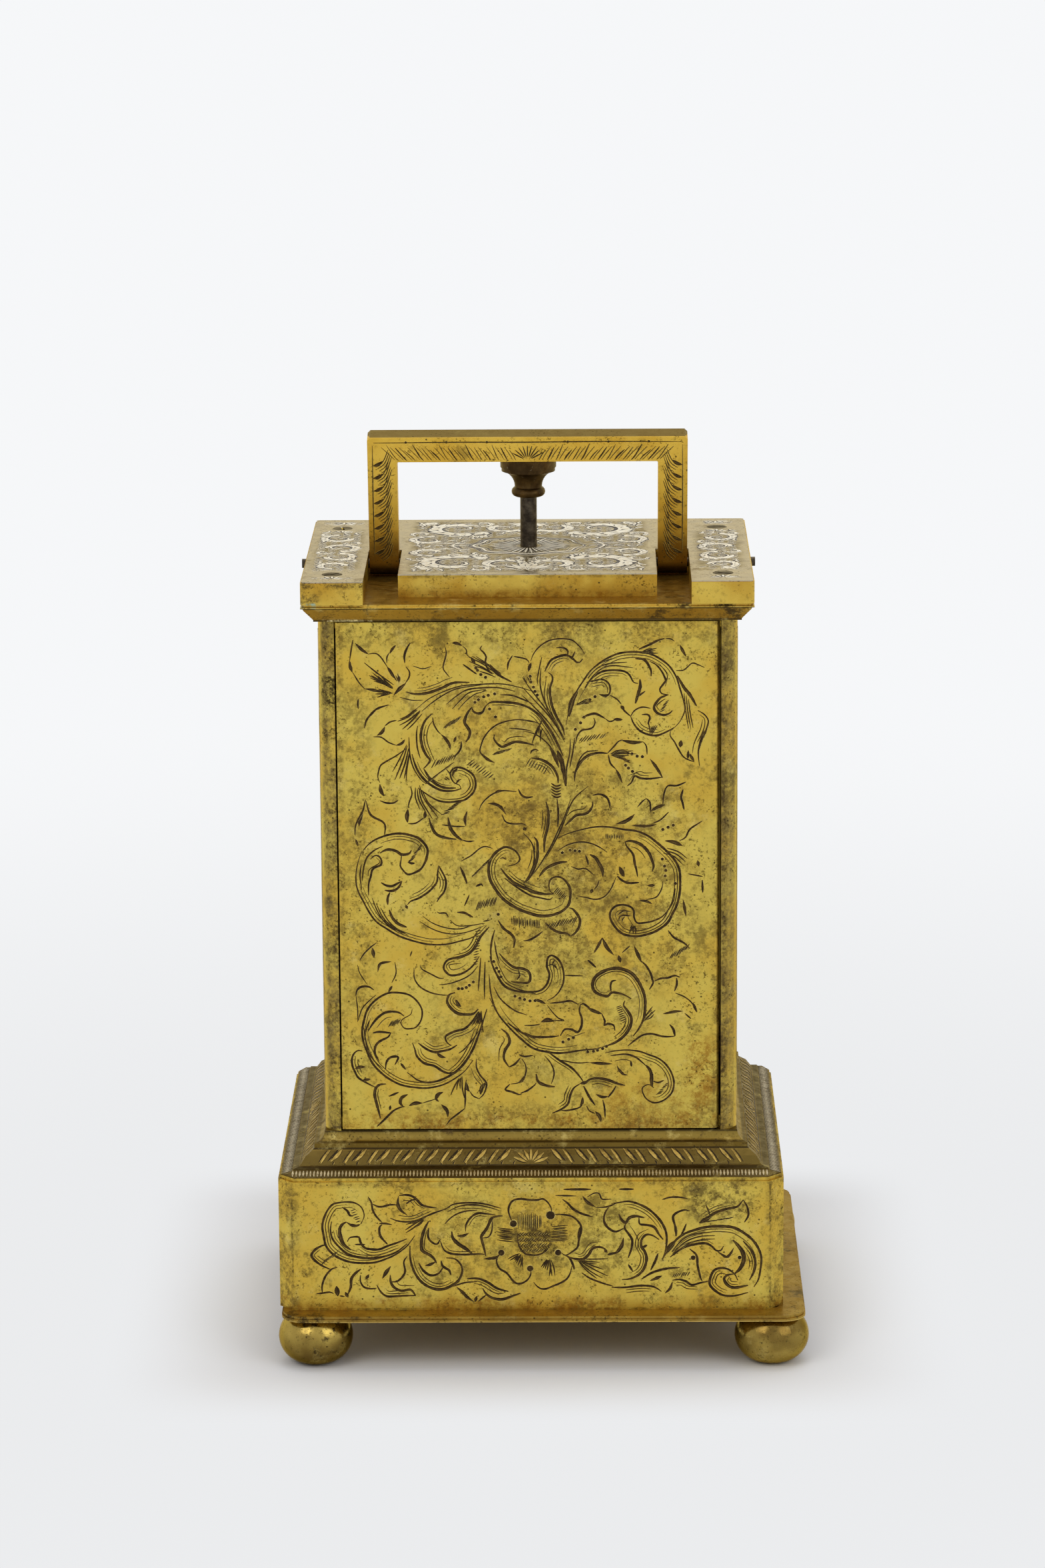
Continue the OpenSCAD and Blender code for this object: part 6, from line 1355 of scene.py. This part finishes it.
def slab_ground(panel):
    """Fine cross-hatching over the ground between the scrolls."""
    step = 1.3
    for slope in (-1, 1):
        for n in range(-78, 79):
            for k in range(-20, 21):
                u, v = k * step * 1.5, n * 0.85 + slope * k * step * 1.5
                u, v = u + panel.dice.uniform(-0.2, 0.2), v + panel.dice.uniform(-0.1, 0.1)
                inside = on_slab(u, v) and on_slab(u + step, v + slope * step)
                if inside and panel.dice.random() < 0.86:
                    panel.cut(24, (u, v, u + step, v + slope * step), step=1.2)


def slab_sunburst(panel):
    """Fine rays round the repeat stem, inside a waved double line and pairs of crescents."""
    for k in range(72):
        turn = math.tau * k / 72
        c, s = math.cos(turn), math.sin(turn)
        near, far = 2.0 + 0.3 * (k % 2), 5.6 + 2.0 * panel.dice.random()
        ray = (near * c, STEM_Y + near * s, far * c, STEM_Y + far * s)
        panel.cut(34 if k % 2 else 26, ray, relief=k % 2 == 1, step=1.0)
    for reach, width in ((9.5, 110), (9.2, 50), (10.4, 46), (8.3, 30)):
        panel.ring(width, STEM_Y, reach, 0.5, 0.8, relief=width == 50)
    for side in (-1, 1):
        for n in range(3):
            end = 11.4 + 0.6 * n
            panel.cut(60 - 14 * n, (end, STEM_Y + 3.6, 12.6 + 0.7 * n, STEM_Y, end, STEM_Y - 3.6),
                      relief=n == 1, side=side)
        for n in range(-2, 3):
            panel.cut(26, (2.4, STEM_Y + 0.3 * n, 4.4, STEM_Y + 0.6 * n, 6.2, STEM_Y + 0.75 * n), side=side)


# Right half of the slab's top, from the middle of the case: across, toward the dial, reach, start, hand.
SLAB_SPIRALS = (
    (12.6, -12.4, 5.3, 150, -1), (4.6, -13.6, 3.4, 200, -1), (17.4, -2.6, 2.9, 250, 1),
    (17.6, 8.8, 3.0, 110, -1), (12.4, 19.6, 5.2, 210, 1), (4.4, 20.4, 3.5, 150, 1),
    (8.6, -17.6, 1.9, 60, 1), (19.0, -8.6, 1.6, 20, -1), (8.4, 24.0, 1.8, 320, -1),
    (19.2, 14.4, 1.6, 300, 1), (2.6, -9.0, 1.6, 100, 1), (2.6, 16.2, 1.6, 260, -1),
    (13.4, 13.4, 1.7, 60, 1), (13.2, -5.8, 1.6, 300, -1), (33.3, -14.4, 2.7, 270, 1),
    (33.4, -6.6, 2.9, 90, 1), (33.3, 2.0, 3.0, 270, -1), (33.4, 10.6, 2.9, 90, -1),
    (31.0, -10.4, 1.3, 0, 1), (35.8, -2.4, 1.3, 180, 1), (31.0, 6.4, 1.3, 0, -1),
    (35.8, 14.4, 1.3, 180, 1),
)
SLAB_FANS = (
    (19.2, -17.6, 2.8, 100, 190), (19.2, 25.2, 2.8, 170, 260), (8.8, -6.6, 2.3, 20, 140),
    (8.8, 13.0, 2.3, 230, 330), (33.4, 16.2, 2.0, 20, 160), (33.4, -26.4, 2.2, 20, 160),
    (33.4, 26.6, 2.4, 200, 340),
)


def slab_leaves(panel):
    """Small curved leaves that fill the spaces between the scrolls and flow away from them."""
    for row in range(22):
        for column in range(18):
            u = 0.9 + 2.1 * column + panel.dice.uniform(-0.35, 0.35)
            v = -25.6 + 2.4 * row + panel.dice.uniform(-0.35, 0.35)
            size, twist = panel.dice.uniform(0.9, 1.5), panel.dice.uniform(0.5, 1.1)
            a, b, reach, _, hand = min(SLAB_SPIRALS, key=lambda c: math.hypot(u - c[0], v - c[1]) - c[2])
            if math.hypot(u - a, v - b) < reach + 1.0:
                continue
            turn = math.atan2(v - b, u - a) + hand * twist
            c, s, bend = size * math.cos(turn), size * math.sin(turn), 0.42 * hand
            if on_slab(u - c, v - s) and on_slab(u + c, v + s):
                leaf = (u - c, v - s, u - bend * s, v + bend * c, u + c, v + s)
                for side in (-1, 1):
                    panel.cut(100, leaf, step=0.5, side=side)
                    panel.cut(58, leaf, relief=True, step=0.5, side=side)


def slab_scrolls():
    """Scroll leaves on a hatched ground, mirrored about the middle of the slab's top."""
    panel = Engraving(4, lambda u, v, lift: (CASE_X + u, CASE_Y + v, SLAB_TOP + lift), SILVER_CUTS)
    slab_ground(panel)
    slab_sunburst(panel)
    slab_leaves(panel)
    for side in (-1, 1):
        tilt = 0 if side > 0 else 180
        for u, v, reach, start, hand in SLAB_SPIRALS:
            scroll(panel, side * u, v, reach, tilt + side * start, side * hand)
        for u, v, reach, first, last in SLAB_FANS:
            palmette(panel, side * u, v, reach, tilt + side * first, tilt + side * last)
    palmette(panel, 0, -18.6, 5.2, 40, 140, 7)
    palmette(panel, 0, 25.4, 4.6, 220, 320, 7)
    panel.build("slab_engraving")


# Sections of the plinth moulding: out from the body's face, up from the plinth's top.
MILLED_BAND = ((7.6, 0.1), (5.4, 0.75))
LEAF_BEVEL = ((4.2, 1.25), (3.3, 2.6), (1.8, 3.75))


def on_moulding(section, face):
    """Places strokes on one run of the moulding: u along it, v up its section."""
    def place(u, v, lift):
        left = v
        for a, b in zip(section, section[1:]):
            length = math.dist(a, b)
            if left <= length or b == section[-1]:
                break
            left -= length
        ahead = ((b[0] - a[0]) / length, (b[1] - a[1]) / length)
        out = a[0] + ahead[0] * left + ahead[1] * lift
        up = PLINTH_TOP + a[1] + ahead[1] * left - ahead[0] * lift
        if face == "back":
            return CASE_X + u, CASE_Y - BODY_DEPTH - out, up
        if face == "front":
            return CASE_X - u, CASE_Y + BODY_DEPTH + out, up
        if face == "left":
            return CASE_X - BODY_SIDE - out, CASE_Y - u, up
        return CASE_X + BODY_SIDE + out, CASE_Y + u, up
    return place


def leaf_row(face, half, seed):
    """Sloping leaves and commas that mirror about the middle of the run."""
    panel = Engraving(seed, on_moulding(LEAF_BEVEL, face), LEAF_CUTS)
    for k in range(7):
        turn = math.radians(24 + 22 * k)
        c, s = math.cos(turn), 0.9 * math.sin(turn)
        panel.cut(62, (0.7 * c, 0.2 + 0.7 * s, 1.9 * c, 0.2 + 1.9 * s, 3.3 * c, 0.2 + 3.3 * s), relief=True)
    panel.cut(16, (-half, 0.04, 0, 0.04, half, 0.04), step=1.0)
    for side in (-1, 1):
        d = 2.6
        while d < half - 3.6:
            panel.cut(74, (d + 2.9, 0.7, d + 1.9, 1.8, d + 0.9, 3.2), relief=True, side=side)
            panel.cut(40, (d + 3.4, 0.8, d + 2.5, 1.8, d + 1.6, 3.1), side=side)
            panel.cut(38, (d + 4.6, 0.4, d + 3.9, 1.6, d + 3.0, 3.0), relief=True, side=side)
            panel.cut(26, (d + 5.0, 0.5, d + 4.3, 1.7, d + 3.4, 3.1), side=side)
            for tick in (0.4, 2.5):
                panel.cut(28, (d + tick, 0.05, d + tick, 0.4, d + tick - 0.3, 0.8), side=side)
            d += 4.2
    panel.build("leaves_" + face)


def milled_row(face, half, pitch, wide, seed):
    """Close upright cuts across the flat band below the leaves."""
    panel = Engraving(seed, on_moulding(MILLED_BAND, face), MILL_CUTS)
    for k in range(int(2 * half / pitch) + 1):
        u = -half + k * pitch
        panel.cut(wide, (u, 0.3, u, 1.2, u, 2.1), relief=True, step=0.8)
    panel.build("milling_" + face)


def moulding_rows():
    """Both rows of the moulding on each face: half its length, then pitch and width of the cuts."""
    runs = (("back", 41.4, 0.62, 38), ("front", 41.4, 0.62, 38),
            ("left", 31.8, 0.5, 32), ("right", 31.8, 0.5, 32))
    for seed, (face, half, pitch, wide) in enumerate(runs):
        leaf_row(face, half - 3, 10 + seed)
        milled_row(face, half, pitch, wide, 20 + seed)


def panels_out_of_sight():
    """The other faces carry the same scrolls, fitted to their widths."""
    narrow, edge, low, high = 0.76, 31.5, 2, 89

    def plinth_copy(name, seed, place):
        panel = Engraving(seed, place)
        panel.strokes(*PLINTH_STROKES, shade=1.2, step=0.7)
        panel.build("plinth_engraving_" + name)

    for name, side, seed in (("left", -1, 31), ("right", 1, 32)):
        panel = Engraving(seed, lambda u, v, lift: (
            CASE_X + side * (BODY_SIDE + lift), CASE_Y + side * narrow * u, BODY_BOTTOM + v))
        panel.strokes(*DOOR_STROKES, shade=1.2, step=0.7)
        for u in (-edge, edge):
            panel.cut(24, (u, low, u, 45, u, high), step=1.5)
        for v in (low, high):
            panel.cut(24, (-edge, v, 0, v, edge, v), step=1.5)
        panel.build("side_engraving_" + name)
        plinth_copy(name, seed + 2, lambda u, v, lift: (
            CASE_X + side * (PLINTH_SIDE + lift), CASE_Y + side * narrow * u, PLINTH_BOTTOM + v))
    plinth_copy("front", 35, lambda u, v, lift: (
        CASE_X - u, CASE_Y + PLINTH_DEPTH + lift, PLINTH_BOTTOM + v))


# The numerals' letters, one unit high: how wide each is, then its strokes.
LETTERS = {
    "I": (0.36, ((66, 0, 0, 0, 1),)),
    "V": (0.78, ((66, -0.3, 1, 0, 0), (26, 0.3, 1, 0, 0))),
    "X": (0.78, ((66, -0.3, 1, 0.3, 0), (26, 0.3, 1, -0.3, 0))),
}
HOURS = ("XII", "I", "II", "III", "IIII", "V", "VI", "VII", "VIII", "IX", "X", "XI")


def dial_marks():
    """Black hour numerals that stand radially, and a minute track between two rings."""
    low, high = (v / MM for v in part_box("chapter_ring"))
    centre = (low + high) / 2
    foot, tall, broad = 18.9, 3.4, 2.5
    panel = Engraving(41, lambda u, v, lift: (centre.x - u, DIAL_FACE + lift, centre.z + v), INK)
    for hour, letters in enumerate(HOURS):
        turn = math.radians(90 - 30 * hour)
        outward = Vector((math.cos(turn), math.sin(turn)))
        along = Vector((outward.y, -outward.x))
        wide = sum(LETTERS[c][0] for c in letters)
        start = -wide / 2
        for c in letters:
            middle = start + LETTERS[c][0] / 2
            for stroke in LETTERS[c][1]:
                flat = []
                for i in range(1, len(stroke), 2):
                    spot = outward * (foot + tall * stroke[i + 1]) + along * broad * (middle + stroke[i])
                    flat += [spot.x, spot.y]
                panel.cut(stroke[0], flat)
            start += LETTERS[c][0]
    near, far = 23.4, 24.2
    for k in range(60):
        turn = math.tau * k / 60
        c, s = math.cos(turn), math.sin(turn)
        if k % 5:
            panel.cut(16, (near * c, near * s, far * c, far * s))
    for reach in (23.3, 24.3):
        panel.ring(12, 0, reach)
    panel.build("dial_numerals")


def border_leaf(panel, along, bend, at):
    """One leaf of the border and its dot; at(along, out) gives a place on the panel."""
    def line(*places):
        return [c for place in places for c in at(*place)]

    panel.cut(34, line((along - 2.4, 0), (along, 0.9 * bend), (along + 2.4, 0)))
    panel.cut(66, line((along - 0.6, 0.6 * bend), (along + 0.3, -0.5 * bend), (along + 1.4, -1.2 * bend)))
    panel.dot(*at(along - 0.9, -1.1 * bend), 0.2)


def frame_border():
    """Fine lines and a row of leaves round the window of the dial side."""
    panel = Engraving(42, lambda u, v, lift: (CASE_X - u, CASE_Y + BODY_DEPTH + lift, WINDOW_MIDDLE + v))
    for wide, tall, width in ((34.4, 43.6, 26), (28.6, 38.6, 26), (33.7, 42.9, 14)):
        for side in (-1, 1):
            panel.cut(width, (side * wide, -tall, side * wide, 0, side * wide, tall), step=1.5)
            panel.cut(width, (-wide, side * tall, 0, side * tall, wide, side * tall), step=1.5)
    pitch, across_to, up_to = 4.8, 31.1, 41.1
    for side in (-1, 1):
        for k in range(16):
            border_leaf(panel, -36 + pitch * k, 1 if k % 2 else -1,
                        lambda along, out: (side * (across_to + out), along))
        for k in range(12):
            border_leaf(panel, -26.4 + pitch * k, 1 if k % 2 else -1,
                        lambda along, out: (along, side * (up_to + out)))
    panel.build("frame_engraving")


door_panel()
plinth_panel()
handle_feathers()
slab_scrolls()
moulding_rows()
panels_out_of_sight()
dial_marks()
frame_border()


# ---------------------------------------------------------------- studio

def paper():
    """White paper that keeps the object's shadow near it, with a painted shadow under the base plate,
    and is plain light farther off.
    """
    f = Finish("paper", 0.0, 0.85)
    colour = f.mix(f.noise(40, 3.0), srgb(243, 243, 243), srgb(238, 238, 240))
    # A painted shadow: the paper under the base plate is mixed halfway toward a grey-brown.
    under = f.times(f.span(0, -42, 42, 7), f.span(1, -33, 34, 7))
    colour = f.mix(f.times(under, 0.5), colour, srgb(168, 162, 150))
    f.bump(f.noise(3.0, 3.0), 0.1, 0.2)
    f.finish(colour)
    glow = f.node("ShaderNodeEmission")
    glow.inputs["Color"].default_value = (0.975, 0.985, 1.0, 1.0)
    path = f.node("ShaderNodeLightPath")
    seen = f.maths("MAXIMUM", path.outputs["Is Camera Ray"], path.outputs["Is Transmission Ray"])
    seen = f.maths("MAXIMUM", seen, path.outputs["Is Glossy Ray"])
    away = f.node("ShaderNodeVectorMath", operation="LENGTH")
    f.join(f.place, away.inputs[0])
    near = f.times(f.span(0, -62, 58, 16), f.span(1, -50, 70, 14))
    far = f.maths("SUBTRACT", 1.0, near)
    f.join(f.ramp(away.outputs["Value"], 0.08, 0.5, 0.85, 0.945), glow.inputs["Strength"])
    blend = f.node("ShaderNodeMixShader")
    f.join(f.times(seen, far), blend.inputs[0])
    f.join(f.shader.outputs[0], blend.inputs[1])
    f.join(glow.outputs[0], blend.inputs[2])
    f.join(blend.outputs[0], f.tree.nodes["Material Output"].inputs["Surface"])
    return f.material


def floor():
    """A pale sweep: flat near the object and curved up far behind it."""
    behind, bend, top, half_width = 2400, 1500, 4000, 5000
    verts, faces = [], []
    profile = [(-3000, 0), (-600, 0), (0, 0), (900, 0), (behind, 0)]
    for k in range(1, 13):
        turn = math.radians(90 * k / 12)
        profile.append((behind + bend * math.sin(turn), bend * (1 - math.cos(turn))))
    profile.append((behind + bend, top))
    for y, z in profile:
        verts += [(-half_width, y, z), (half_width, y, z)]
    for i in range(len(profile) - 1):
        faces.append((2 * i, 2 * i + 1, 2 * i + 3, 2 * i + 2))
    mesh_object("studio_floor", verts, faces, [paper()])


def lamp(name, place, aim, size, power):
    """An area light at a place in metres, turned toward its aim."""
    data = bpy.data.lights.new(name, "AREA")
    data.size = size
    data.energy = power
    made = bpy.data.objects.new(name, data)
    scene.collection.objects.link(made)
    made.location = place
    made.rotation_euler = (Vector(aim) - Vector(place)).to_track_quat("-Z", "Y").to_euler()


def world(surround, ambient):
    """White for the camera and for reflections, plain ambient light elsewhere."""
    made = bpy.data.worlds.new("studio")
    scene.world = made
    made.use_nodes = True
    nodes = made.node_tree.nodes
    links = made.node_tree.links
    path = nodes.new("ShaderNodeLightPath")
    seen = nodes.new("ShaderNodeMath")
    seen.operation = "MAXIMUM"
    links.new(path.outputs["Is Camera Ray"], seen.inputs[0])
    links.new(path.outputs["Is Glossy Ray"], seen.inputs[1])
    clear = nodes.new("ShaderNodeMath")
    clear.operation = "MAXIMUM"
    links.new(seen.outputs[0], clear.inputs[0])
    links.new(path.outputs["Is Transmission Ray"], clear.inputs[1])
    level = nodes.new("ShaderNodeMapRange")
    links.new(clear.outputs[0], level.inputs["Value"])
    level.inputs["To Min"].default_value = ambient
    level.inputs["To Max"].default_value = surround
    nodes["Background"].inputs["Color"].default_value = (0.985, 0.985, 1.0, 1.0)
    links.new(level.outputs["Result"], nodes["Background"].inputs["Strength"])


def camera():
    """The photograph's viewpoint, fitted to the corners of the case."""
    yaw, pitch, roll = 0.011753, 0.232346, -0.006874
    right = Vector((math.cos(yaw), math.sin(yaw), 0))
    ahead = Vector((-math.sin(yaw), math.cos(yaw), 0))
    up = Vector((0, 0, 1))
    view = ahead * math.cos(pitch) - up * math.sin(pitch)
    above = up * math.cos(pitch) + ahead * math.sin(pitch)
    x = right * math.cos(roll) + above * math.sin(roll)
    y = -right * math.sin(roll) + above * math.cos(roll)
    data = bpy.data.cameras.new("photo_camera")
    data.lens = 122.13
    data.sensor_width = 36
    data.clip_end = 50
    made = bpy.data.objects.new("photo_camera", data)
    scene.collection.objects.link(made)
    spot = Vector((7.328, -915.413, 312.850)) * MM
    made.matrix_world = Matrix((
        (x.x, y.x, -view.x, spot.x),
        (x.y, y.y, -view.y, spot.y),
        (x.z, y.z, -view.z, spot.z),
        (0, 0, 0, 1),
    ))
    scene.camera = made


floor()
lamp("key", (-0.75, -0.95, 1.15), (0, 0, 0.08), 0.8, 5.0)
lamp("fill", (0.85, -0.8, 0.8), (0, 0, 0.08), 0.8, 3.0)
lamp("top", (0.1, 0.25, 1.4), (0, 0, 0.1), 1.0, 4.0)
world(0.92, 0.5)
camera()
scene.view_settings.view_transform = "Standard"
